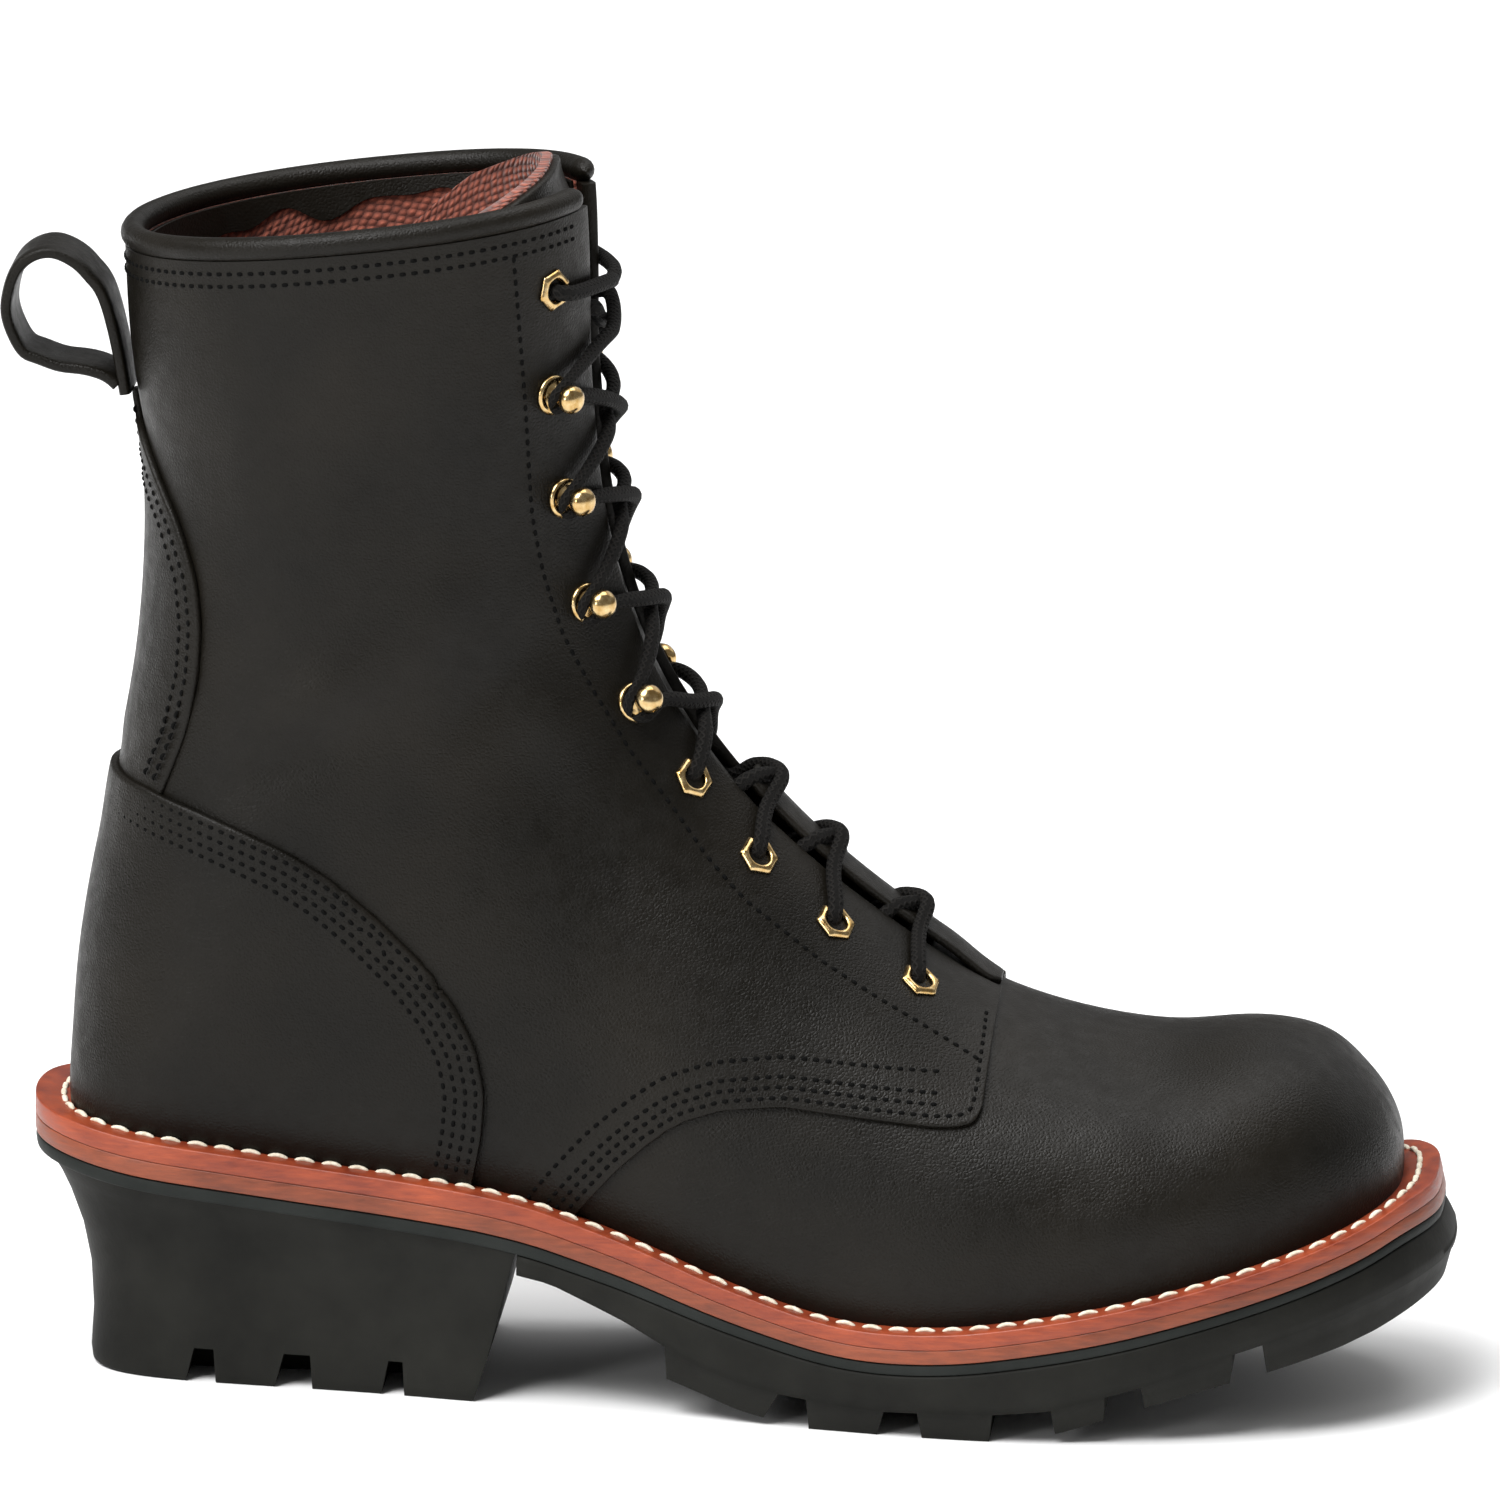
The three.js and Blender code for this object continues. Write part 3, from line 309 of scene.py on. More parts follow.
def mesh_object(name, points, faces, material, uv=None):
    """A smooth mesh from points in mm, at the origin, unturned and unscaled; uv is one pair per point, in mm."""
    mesh = bpy.data.meshes.new(name)
    faces = faces if isinstance(faces, list) else faces.tolist()
    mesh.from_pydata((np.asarray(points, float) / 1000).reshape(-1, 3).tolist(), [], faces)
    mesh.polygons.foreach_set("use_smooth", np.ones(len(mesh.polygons), bool))
    if uv is not None:
        corners = np.empty(len(mesh.loops), np.int32)
        mesh.loops.foreach_get("vertex_index", corners)
        pairs = np.asarray(uv, np.float32).reshape(-1, 2)[corners]
        mesh.uv_layers.new(name="mm").uv.foreach_set("vector", pairs.ravel())
    mesh.materials.append(material)
    mesh.update()
    obj = bpy.data.objects.new(name, mesh)
    bpy.context.scene.collection.objects.link(obj)
    return obj


def belongs(obj, slot, *nodes):
    """The piece rides on the boot and stands for CAD nodes, which it hides. The slot is not used."""
    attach(obj, "root")
    if nodes:
        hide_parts(*nodes)
    return obj


def quads(n, m, first=0, flip=False):
    """Quads of an n by m grid of points."""
    k = first + np.arange(n * m).reshape(n, m)
    q = np.stack([k[:-1, :-1], k[:-1, 1:], k[1:, 1:], k[1:, :-1]], -1).reshape(-1, 4)
    return q[:, ::-1] if flip else q


def facing_out(points, faces):
    """The faces of a closed body, all turned round if they look inward."""
    points = points.reshape(-1, 3)
    a, b, c = (points[faces[:, i]] for i in (0, 1, 2))
    volume = np.einsum("ij,ij->i", points[faces].mean(1), np.cross(b - a, c - a)).sum()
    return faces if volume > 0 else faces[:, ::-1]


def slab(outer, inner):
    """Points and faces of a closed sheet between two grids of the same shape, joined around their rim."""
    n, m = outer.shape[:2]
    k = np.arange(n * m).reshape(n, m)
    rim = np.concatenate([k[0, :-1], k[:-1, -1], k[-1, :0:-1], k[:0:-1, 0]])
    after = np.roll(rim, -1)
    sides = np.stack([rim, after, after + n * m, rim + n * m], -1)
    points = np.concatenate([outer.reshape(-1, 3), inner.reshape(-1, 3)])
    return points, facing_out(points, np.concatenate([quads(n, m, 0, True), quads(n, m, n * m), sides]))


def eased(n, close=(0.0008, 0.0024, 0.005)):
    """n places from 0 to 1 that crowd at both ends, where a panel's cut edge is rounded."""
    inner = np.linspace(0, 1, n)[1:-1]
    inner = inner[(inner > 1.5 * close[-1]) & (inner < 1 - 1.5 * close[-1])]
    return np.concatenate([[0], close, inner, 1 - np.array(close[::-1]), [1]])


def edge_drop(n, first, last):
    """How far the outer face drops in the rows next to a rounded cut edge, in mm."""
    drop, bend = np.zeros(n), np.array([0.62, 0.24, 0.08, 0.015])
    drop[:4], drop[-4:] = bend * first, bend[::-1] * last
    return drop


def panel(name, t, turn, height, thickness, material, rounded=(True, True, True, True)):
    """A leather panel on the form: a grid of t and turn, its outer face at height, rounded at the chosen edges
    (first and last row, first and last column)."""
    n, m = t.shape
    drop = np.maximum(edge_drop(n, *rounded[:2])[:, None], edge_drop(m, *rounded[2:])[None])
    outer = on_form(t, turn, height - drop)
    points, faces = slab(outer, on_form(t, turn, height - thickness))
    uv = np.stack([lengths(outer, 1), lengths(outer, 0)], -1)
    return mesh_object(name, points, faces, material, np.concatenate([uv, uv]))


BLACK_LEATHER = leather("black full-grain leather", "#0d0b07", "#181510", 0.40)
# Height of a lapped panel over the vamp, and the vamp's thickness
STEP, WALL = 1.4, 2.2
# How far below the featherline the panels run on under the welt
TUCK = 2.5


def smooth(x):
    """0 below 0, 1 above 1, and a soft S between."""
    x = np.clip(x, 0, 1)
    return x * x * (3 - 2 * x)


def vamp():
    """Rows run from the toe to the throat, and further back along the sides, where the quarters cover them."""
    v = np.linspace(-1, 1, 221)
    u = np.concatenate([np.linspace(0, 0.12, 24)[:-1], np.linspace(0.12, 1, 150)])
    last = 11.7 + 3.4 * smooth((np.abs(v) - 0.28) / 0.2)
    t = u[:, None] * last[None]
    outer, inner = crossing(t, TUCK)
    ends = np.where(v[None] > 0, outer, inner)
    bend = np.sign(v) * np.abs(v) ** 1.1
    return panel("vamp", t, ends * bend[None], 0.0 * t, WALL + 0.0 * t, BLACK_LEATHER)


belongs(vamp(), "black_leather")


# Quarters
# The two sides and the shaft, cut from the same leather and lapped 1.4 mm over the vamp. Each runs from its
# eyestay round to the back, and its front and lower edge is held by rows of black stitching.
THROAT = (8.0, 12.5)
# Its front and lower edge seen from the side: x and z
QUARTER_LINE = np.array([
    [157.1, 90.9], [157, 82.8], [156.6, 76], [156, 70.5], [154.6, 68], [150.8, 67.2], [145.8, 67.1], [128.8, 68.6],
    [112.3, 70.2], [99, 68.8], [90.5, 65.9], [83, 60.4], [76.3, 54.3], [70.4, 47.5], [66, 42], [62, 36],
])


def throat_turn(t):
    """Turn at which the throat's edge lies, for the half width that runs from the lower to the upper end."""
    share = np.clip((t - 10.95) / 17.05, 0, 1)
    half = THROAT[0] + (THROAT[1] - THROAT[0]) * share
    s = spline(SECTIONS, t)
    return np.arcsin(np.minimum(1, (half / s[..., 5]) ** (s[..., 8] / 2)))


def quarter(side):
    """Rows run up the leg, and columns from the eyestay to the lower edge or the back."""
    line = seen_at(soft_line(QUARTER_LINE, 500, 0.008), side)
    line = line[line[:, 0].argmin():]
    order = np.argsort(line[:, 0])
    first = line[:, 0].min()
    t = np.concatenate([first + np.array([0, 0.002, 0.007, 0.015]), np.linspace(first + 0.03, first + 0.3, 20),
                        np.linspace(first + 0.33, 14.0, 60), np.linspace(14.03, 15.0, 50),
                        np.linspace(15.05, 27.95, 160), [27.97, 27.985, 27.995, 28.0]])
    outer, inner = crossing(t, TUCK)
    bottom = outer if side > 0 else inner
    free = np.interp(t, line[order, 0], side * line[order, 1], right=np.pi)
    end = np.minimum(np.maximum.accumulate(free), bottom)
    start = throat_turn(t)
    v = eased(170, (0.0015, 0.004, 0.008))
    t, turn = np.broadcast_arrays(t[:, None], start[:, None] + (end - start)[:, None] * v[None])
    thick = STEP + 0.05 + (WALL - 0.4) * smooth((t - 14.6) / 1.2)
    name = "quarter_outer" if side > 0 else "quarter_inner"
    return panel(name, t, side * turn, STEP + 0 * t, thick, BLACK_LEATHER, (True, False, True, True))


belongs(quarter(1), "black_leather", "upper")
belongs(quarter(-1), "black_leather")


# Counter
# A pocket of the same leather around the heel, lapped over both quarters and sewn along its curved top edge.
# Its edge seen from the side, from the back down to the welt: x and z
COUNTER_HEIGHT = STEP + 1.9
COUNTER_LINE = np.array([
    [-39.2, 134.2], [-36.8, 134.6], [-31, 133.6], [-24.8, 131.8], [-16, 129.4], [-8.2, 126.6], [2.5, 122], [12.3, 116.1],
    [22, 108.4], [32, 98.8], [39.5, 89.5], [44.6, 80], [46.9, 70], [46.4, 60], [44.8, 51.4], [43.6, 46],
])


def counter():
    """Columns run along the top edge from the inner front to the outer front, rows from it down to the welt."""
    s = np.linspace(0, 1, 170)
    base_t = 18.2 - 3.02 * s ** 0.8
    outer, inner = crossing(base_t, TUCK)
    r = eased(90, (0.003, 0.008, 0.016))[:-3]
    halves = []
    for side, bottom in ((1, outer), (-1, inner)):
        edge = seen_at(soft_line(COUNTER_LINE, 170, 0.012), side)
        level_t = np.linspace(20, 24, 81)
        around = np.linspace(side * np.pi, edge[14, 1], 15)
        rise = np.linspace(134.2, form(*edge[14])[2], 15)
        edge[:15, 0] = [np.interp(z, form(level_t, a)[:, 2], level_t) for a, z in zip(around, rise)]
        edge[:15, 1] = around
        t = edge[None, :, 0] + (base_t - edge[:, 0])[None] * r[:, None]
        turn = edge[None, :, 1] + (side * bottom - edge[:, 1])[None] * r[:, None]
        halves.append((t, turn))
    t = np.concatenate([halves[1][0][:, :0:-1], halves[0][0]], 1)
    turn = np.concatenate([halves[1][1][:, :0:-1], halves[0][1]], 1)
    proud = 0.9 * np.exp(-((np.abs(turn) - np.pi) / 0.75) ** 2) * (1 - smooth(r / 0.25))[:, None]
    return panel("counter_pocket", t, turn, COUNTER_HEIGHT + proud, 1.8 + proud, BLACK_LEATHER, (True, False, True, True))


belongs(counter(), "black_leather", "counter")


# Backstay
# A leaf of the same leather that covers the back seam from the pull loop down to the counter. It is sewn on
# by two rows along each edge, and its foot lies under the counter.
# Its edge seen from the side, from the counter up to the loop: x and z
BACKSTAY_HEIGHT = STEP + 1.75
BACKSTAY_LINE = np.array([
    [-25.6, 131], [-20.5, 145], [-17.4, 158.1], [-16.7, 170.2], [-17.9, 181], [-22, 192.6], [-26.6, 201],
    [-31, 209.5], [-34.4, 217.2],
])


def backstay():
    """Rows run up the back, columns from the outer edge round to the inner edge."""
    t = 21.35 + 5.3 * eased(90, (0.003, 0.008, 0.016))
    line = seen_at(soft_line(BACKSTAY_LINE, 200, 0.03), 1)
    edge = np.interp(t, line[:, 0], line[:, 1])
    v = eased(70, (0.004, 0.012, 0.025))
    turn = edge[:, None] + (2 * np.pi - 2 * edge)[:, None] * v[None]
    t = np.broadcast_to(t[:, None], turn.shape)
    under = 0.75 * smooth((22.9 - t) / 0.6)
    return panel("backstay_leaf", t, turn, BACKSTAY_HEIGHT - under, 1.7 - under, BLACK_LEATHER)


belongs(backstay(), "black_leather", "backstay")


# Tongue
# A wide tongue of soft black leather behind the throat, faced inside with rust-red mesh that shows at its
# top. Both layers are sewn into the lower end of the throat and stand free above it.
def mix(tree, share, first, second):
    """The first colour with a share of the second."""
    n = add(tree, "ShaderNodeMix", {6: first, 7: second}, data_type="RGBA")
    n.inputs["Factor"].default_value = share
    return n.outputs[2]


def mesh_cloth(name, dark, light, pitch):
    """Coarse knitted mesh: a slanted net of rounded loops in real mm, with painted shade between the loops, and fuzz.
    """
    material, tree, shader, uv = blank(name, 0.85, 1.45, uv=True)
    slanted = add(tree, "ShaderNodeMapping", {"Vector": uv}, Scale=(1 / pitch, 1.25 / pitch, 1), Rotation=(0, 0, 0.3))
    cells = add(tree, "ShaderNodeTexVoronoi", {"Vector": slanted.outputs["Vector"]}, Scale=1.0, Randomness=0.35)
    loops = cells.outputs["Distance"]
    # Painted shade: the loops' colour darkens towards their edges, where the bump is low; a quarter of the colour is
    # random tone.
    colour = mix(tree, 0.25, ramp(tree, loops, 0.12, 0.62, light, dark),
                 ramp(tree, noise(tree, uv, 3.0, 5.0), 0.35, 0.7, dark, light))
    tree.links.new(colour, shader.inputs["Base Color"])
    emboss(tree, shader, ramp(tree, loops, 0.1, 0.65, 1.0, 0.0), 0.9, 0.0006)
    shader.inputs["Sheen Weight"].default_value = 0.3
    return material


RUST_MESH = mesh_cloth("rust mesh lining", "#4a2118", "#b0604a", 2.0)


def tongue(name, out, thickness, material, extra):
    """Rows run up from the vamp, columns across. Its top is highest in the middle and falls to both sides, where
    it is wide enough to fold round into the shaft; it leans back a little over its last centimetre."""
    v = 2 * eased(90, (0.003, 0.008, 0.018)) - 1
    top = 29.3 + extra - 2.2 * np.abs(v) ** 1.6
    t = 9.6 + (top - 9.6)[None] * eased(130, (0.0015, 0.004, 0.008))[:, None]
    half = 0.42 + 0.2 * smooth((t - 9.6) / 14) + 0.88 * smooth((t - 22) / 5)
    lean = out - 4.5 * smooth((t - 26.8) / 2.4) * (1 - 0.7 * np.abs(v)[None])
    return panel(name, t, half * v[None], lean, thickness + 0 * t, material)


belongs(tongue("tongue_leather", -2.9, 1.6, BLACK_LEATHER, 0.0), "black_leather", "tongue")
belongs(tongue("tongue_lining", -4.5, 2.4, RUST_MESH, 0.12), "black_leather")


# Shaft lining and facing
# Rust mesh lines the inside of the shaft. Under the collar lies a strip of black leather with a wavy lower
# edge, cut by hand and sewn in with the collar.
def pace(turn):
    """How many mm the form runs up for each whole t next to the collar."""
    return np.linalg.norm(form(COLLAR, turn) - form(COLLAR - 0.5, turn), axis=-1) * 2


def inner_strip(name, deep, out, thickness, material, wave=0.0):
    """Columns run round the inside of the shaft from eyestay to eyestay, rows from its lower edge, which lies deep
    mm below the collar and waves by so many mm, up to the collar."""
    v = np.linspace(0, 1, 240)
    turn = 0.36 + (2 * np.pi - 0.72) * v
    back = smooth((12 - form(COLLAR, turn)[:, 0]) / 36)
    edge = deep * (0.45 + 0.3 * back) + wave * (np.sin(v * 61) + 0.7 * np.sin(v * 103 + 1) + 0.5 * np.sin(v * 27))
    t = COLLAR - (edge / pace(turn))[None] * np.linspace(1, 0, 60)[:, None]
    turn = np.broadcast_to(turn[None], t.shape)
    return panel(name, t, turn, out + 0 * t, thickness + 0 * t, material, (wave > 0, False, False, False))


belongs(inner_strip("shaft_lining", 55.0, -1.95, 0.7, RUST_MESH), "black_leather")
belongs(inner_strip("collar_facing", 9.0, -2.7, 1.0, BLACK_LEATHER, 1.5), "black_leather")


# Collar roll
# Piping of black leather 5 mm thick, which closes the collar's raw edge. It is folded over that edge and
# sewn below it by two rows of stitches.
def rings(n, m, flip=False):
    """Quads between n closed rings of m points, and the two end rings as caps."""
    k = np.arange(n * m).reshape(n, m)
    after = np.roll(k, -1, 1)
    faces = np.stack([k[:-1], after[:-1], after[1:], k[1:]], -1).reshape(-1, 4)
    caps = np.stack([k[0, ::-1], k[-1]])
    return (faces[:, [0, 3, 2, 1]], caps[:, ::-1]) if flip else (faces, caps)


def tube(path, reference, radius, sides=14, flat=1.0):
    """Points, quads, caps and uv of a round cord along a path. Across it lies the direction reference, which
    keeps it from twisting; both ends close with a rounded cap."""
    along = unit(np.gradient(path, axis=0))
    across = unit(reference - np.sum(reference * along, -1, keepdims=True) * along)
    third = np.cross(along, across)
    size_at, cap = np.ones(len(path)), np.array([0.001, 0.5, 0.78, 0.92])
    size_at[:4], size_at[-4:] = cap, cap[::-1]
    angle = np.linspace(0, 2 * np.pi, sides, endpoint=False)
    around = np.cos(angle)[None, :, None] * across[:, None] * flat + np.sin(angle)[None, :, None] * third[:, None]
    points = path[:, None] + (radius * size_at)[:, None, None] * around
    uv = np.stack(np.broadcast_arrays(angle[None] / (2 * np.pi), lengths(path)[:, None]), -1)
    return points.reshape(-1, 3), *rings(len(path), sides), uv.reshape(-1, 2)


def smooth_path(points, pitch=0.8):
    """A cubic path through points, resampled at an even pitch."""
    raw = spline(points, np.linspace(0, len(points) - 1, 40 * len(points)))
    run = lengths(raw)
    return read_at(np.linspace(0, run[-1], max(8, int(run[-1] / pitch))), run, raw)


def collar_roll():
    """The path runs along the collar's edge, from the outer eyestay round the back to the inner one."""
    start = throat_turn(np.array(COLLAR)) + 0.03
    turn = np.linspace(start, 2 * np.pi - start, 240)
    edge = on_form(COLLAR, turn, -0.4)
    up = unit(edge - on_form(COLLAR - 0.3, turn, -0.4))
    points, faces, caps, uv = tube(edge + up * 2.3, outward(COLLAR, turn), 2.7, 18)
    return mesh_object("collar_piping", points, faces.tolist() + caps.tolist(), BLACK_LEATHER, uv)


belongs(collar_roll(), "black_leather", "collar_roll")


# Pull loop
# A doubled strap of black leather, 20 mm wide, bent out from under the collar and back to its own foot.
# Both ends are sewn to the back, above the backstay.
LOOP_LINE = np.array([
    [-37.2, 217.8], [-38.3, 223.9], [-39.7, 230.5], [-42.3, 239.2], [-45.2, 243.4], [-47.7, 246],
    [-51.4, 248.2], [-55.9, 248.7], [-61.1, 245.3], [-63.5, 238.4], [-63.1, 232.8], [-60.2, 227],
    [-56.9, 225.2], [-52, 223.6], [-47.1, 223.1], [-42, 221.8], [-39, 219.6],
])


def pull_loop():
    """A strap whose section is a rounded 20 by 2.8 mm rectangle, carried along the loop's line."""
    line = smooth_path(LOOP_LINE, 0.8)
    path = np.stack([line[:, 0], np.zeros(len(line)), line[:, 1]], -1)
    along = unit(np.gradient(path, axis=0))
    side = np.stack([-along[:, 2], along[:, 1], along[:, 0]], -1)
    angle = np.linspace(0, 2 * np.pi, 48, endpoint=False)
    wide = np.sign(np.cos(angle)) * np.abs(np.cos(angle)) ** 0.25 * 10
    thin = np.sign(np.sin(angle)) * np.abs(np.sin(angle)) ** 0.5 * 1.4
    points = path[:, None] + side[:, None] * thin[None, :, None] + np.array([0, 1, 0]) * wide[None, :, None]
    faces, caps = rings(len(path), len(angle), True)
    return mesh_object("pull_strap", points, faces.tolist() + caps.tolist(), BLACK_LEATHER)


belongs(pull_loop(), "black_leather", "pull_loop")


# Kiltie
# A doubled strip of black leather on the tongue, with a blunt free end on the vamp. The lowest crossings of
# the lace hold it down.
KILTIE_END = 10.75


def kiltie():
    """Rows run from the free end on the vamp up under the laces, columns across."""
    t = KILTIE_END + 4.15 * eased(70, (0.003, 0.008, 0.018))
    s = spline(SECTIONS, t)
    half = 7.0 - 2.2 * np.exp(-((t - KILTIE_END) / 0.1) ** 2)
    turn = np.arcsin((half / s[:, 5]) ** (s[:, 8] / 2))
    v = 2 * eased(40, (0.01, 0.03, 0.06)) - 1
    turn = turn[:, None] * v[None]
    t = np.broadcast_to(t[:, None], turn.shape)
    lifted = STEP + 2.3 - 1.7 * (1 - smooth((t - KILTIE_END) / 0.9))
    return panel("kiltie_strip", t, turn, lifted, 1.6 + 0 * t, BLACK_LEATHER)


belongs(kiltie(), "black_leather", "kiltie")


# Eyelets
# Five pairs of brass eyelets with six-sided flanges, pressed through the eyestays. The lowest four pairs and
# the top pair carry the lace through their barrels.
def brass(name):
    """Polished brass with a faintly hammered gloss."""
    material, tree, shader, place = blank(name, 0.2, 1.5, 1.0)
    marks = noise(tree, place, 700.0, 4.0)
    paint(tree, shader, "Base Color", marks, 0.35, 0.7, "#b8945a", "#dcc393")
    paint(tree, shader, "Roughness", marks, 0.3, 0.7, 0.14, 0.28)
    return material


BRASS = brass("brass")
EYELETS = np.array([[11.8, 0.454], [13.0, 0.471], [14.25, 0.485], [15.6, 0.471], [26.0, 0.637]])
HOOKS = np.array([[17.0, 0.497], [18.8, 0.550], [20.9, 0.602], [23.35, 0.660]])


def seats(rows, height):
    """Place and axes (across the eyestay, up it, outward) of each fitting, outer side first."""
    t = np.repeat(rows[:, 0], 2)
    turn = np.stack([rows[:, 1], -rows[:, 1]], 1).ravel()
    place = on_form(t, turn, height)
    out = outward(t, turn)
    up = unit(form(t + 0.2, turn) - form(t - 0.2, turn))
    up = unit(up - np.sum(up * out, -1, keepdims=True) * out)
    return place, np.cross(up, out), up, out


def turned(profile, sides, corners=0):
    """Rings of a profile of [radius, height] turned about the outward axis; corners makes the widest rings
    six-sided by holding their flats at the same distance."""
    profile = np.asarray(profile, float)
    angle = np.linspace(0, 2 * np.pi, sides, endpoint=False)
    stretch = np.ones((len(profile), sides))
    if corners:
        wide = smooth((profile[:, 0] - 3.0) / 0.8)[:, None]
        period = np.pi / corners
        flat = np.cos(period) / np.cos((angle % (2 * period)) - period)
        stretch = 1 + wide * (flat[None] * 1.08 - 1)
    r = profile[:, 0][:, None] * stretch
    return np.stack([r * np.cos(angle), r * np.sin(angle), np.broadcast_to(profile[:, 1][:, None], r.shape)], -1)


def copies(place, axes, shape, faces):
    """One shape, given along three axes, repeated at every place: its points and its faces."""
    points = place[:, None, None]
    for values, axis in zip(shape, axes):
        points = points + values[None, ..., None] * axis[:, None, None]
    firsts = np.arange(len(place))[:, None, None] * shape[0].size
    return points, (faces[None] + firsts).reshape(-1, faces.shape[1]).tolist()


def fittings(name, shape, rows, height, spin=0.0):
    """Copies of one turned shape at every seat, as one mesh; the profile closes on itself or on the axis."""
    place, *axes = seats(rows, height)
    c, s = np.cos(spin), np.sin(spin)
    x, y, z = np.moveaxis(shape, -1, 0)
    points, faces = copies(place, axes, (x * c - y * s, x * s + y * c, z), rings(*x.shape)[0])
    return mesh_object(name, points, faces, BRASS)


EYELET_PROFILE = [
    [2.35, -2.6], [2.75, -2.6], [2.75, 0.05], [4.35, 0.05], [4.42, 0.25], [4.30, 0.55], [3.85, 0.95], [3.25, 1.15],
    [2.75, 1.05], [2.45, 0.70], [2.35, 0.20], [2.35, -2.6],
]
eyelets = fittings("eyelets", turned(EYELET_PROFILE, 48, 6), EYELETS, STEP, 0.2)
belongs(eyelets, "brass", *[f"eyelet_{n}_{s}" for n in (1, 2, 3, 4, 9) for s in ("lateral", "medial")])


# Hooks
# Four pairs of brass speed hooks, riveted to the eyestays above the eyelets. Each has a ringed base, a neck
# for the lace and a domed head.
HOOK_PROFILE = [
    [0.001, 0.05], [4.45, 0.05], [4.5, 0.5], [4.2, 0.95], [3.6, 1.15], [3.1, 0.95], [2.9, 1.05], [2.3, 1.6], [1.7, 2.2],
    [1.55, 3.0], [1.55, 4.2], [2.2, 4.7], [2.9, 5.1], [3.2, 5.8], [3.15, 6.7], [2.7, 7.5], [1.9, 8.1], [0.9, 8.4],
    [0.001, 8.45],
]
hooks = fittings("hooks", turned(HOOK_PROFILE, 40), HOOKS, STEP)
belongs(hooks, "brass", *[f"hook_{n}_{s}" for n in (5, 6, 7, 8) for s in ("lateral", "medial")])


# Lace
# One round braided black cord of 3.8 mm: through the eyelets from inside, across the tongue, and around the
# necks of the hooks. Both ends go in at the top eyelets.
def braid(name):
    """Braided cord: two families of slanting strands from sine waves round and along the cord, with painted shade in
    the grooves between them.
    """
    material, tree, shader, uv = blank(name, 0.78, 1.45, specular=0.2, uv=True)
    split = add(tree, "ShaderNodeSeparateXYZ", {"Vector": uv})
    waves = {}
    for k, turns in enumerate((6, -6)):
        round_it = add(tree, "ShaderNodeMath", {0: split.outputs["X"]}, operation="MULTIPLY")
        round_it.inputs[1].default_value = 2 * np.pi * turns
        run = add(tree, "ShaderNodeMath", {0: split.outputs["Y"], 2: round_it.outputs[0]}, operation="MULTIPLY_ADD")
        run.inputs[1].default_value = 2 * np.pi / 1.6
        waves[k] = add(tree, "ShaderNodeMath", {0: run.outputs[0]}, operation="SINE").outputs[0]
    height = add(tree, "ShaderNodeMath", waves, operation="MAXIMUM").outputs[0]
    # Painted shade: the colour is darker where the strands' height is low, in the grooves between them.
    paint(tree, shader, "Base Color", height, 0.0, 1.0, "#0b0a09", "#191715")
    emboss(tree, shader, height, 0.7, 0.00035)
    return material


# Section of the form at which each pair of strands crosses on the ridge
CROSSINGS = (12.08, 13.42, 14.6, 16.05, 17.85, 19.75, 21.7, 23.9)
LACE_RADIUS = 1.75


def lace():
    """Each strand is a path given as [t, turn, height, radius] on the form, from one row to the next."""
    rows = [*[(t, a, False) for t, a in EYELETS[:4]], *[(t, a, True) for t, a in HOOKS], (*EYELETS[4], False)]
    strands = []

    def across(t, share):
        return share * float(throat_turn(np.array(t)))

    for side in (1, -1):
        for (t, a, hook), (t2, a2, hook2), cross in zip(rows[:-1], rows[1:], CROSSINGS):
            upper = side < 0 if hook2 else side > 0
            over = (6.8 if upper else 5.2) if cross < 14.9 else (4.3 if upper else 1.3)
            if hook:
                leave = [[t - 0.05, side * (a + 0.085), 4.8, 1.3], [t + 0.16, side * (a + 0.06), 4.8, 1.35],
                         [t + 0.27, side * (a - 0.05), 4.6, 1.7]]
            else:
                leave = [[t, side * a, -2.4], [t + 0.03, side * (a - 0.01), 0.9],
                         [t + 0.11, side * (a - 0.07), 3.2]]
            before, after = cross - 0.3 * (cross - t), cross + 0.3 * (t2 - cross)
            middle = [[before, side * across(cross, 0.95), 3.5], [cross, side * across(cross, 0.15), over]]
            if hook2:
                arrive = [[after, -side * across(cross, 0.8), 3.4], [t2 - 0.26, -side * (a2 - 0.10), 4.4],
                          [t2 - 0.22, -side * (a2 + 0.01), 4.8, 1.4], [t2 - 0.05, -side * (a2 + 0.085), 4.8, 1.3]]
            else:
                arrive = [[after, -side * across(cross, 0.72), min(over, 3.0)],
                          [after + 0.12, -side * across(t2, 1.05), -1.9], [t2, -side * a2, -2.4]]
            strands.append([*leave, *middle, *arrive])
    t, a, _ = rows[0]
    strands.append([[t, a, -2.4], [t + 0.1, a * 0.7, -1.6], [t + 0.15, 0.0, -0.9], [t + 0.1, -a * 0.7, -1.6],
                    [t, -a, -2.4]])
    t, a, _ = rows[-1]
    half = [[t, a, -2.4], [t, a, 1.2], [t - 0.25, a * 0.86, 3.6], [t - 0.75, across(t, 0.6), 4.0]]
    strands.append([*half, [t - 0.95, 0.0, 3.6], *[[b, -turn, height] for b, turn, height in half[::-1]]])

    points, faces, uvs, first = [], [], [], 0
    for stops in strands:
        stops = np.array([[*stop, LACE_RADIUS][:4] for stop in stops])
        path = smooth_path(on_form(*stops.T[:3]), 0.9)
        t, turn, radius = read_at(np.linspace(0, len(stops) - 1, len(path)), np.arange(len(stops)), stops[:, [0, 1, 3]]).T
        p, f, caps, uv = tube(path, outward(t, turn), radius, 12, 0.92)
        points.append(p)
        faces += (f + first).tolist() + (caps + first).tolist()
        uvs.append(uv)
        first += len(p)
    return mesh_object("braided_lace", np.concatenate(points), faces, braid("braided black lace"), np.concatenate(uvs))


belongs(lace(), "lace_cord", "lace")


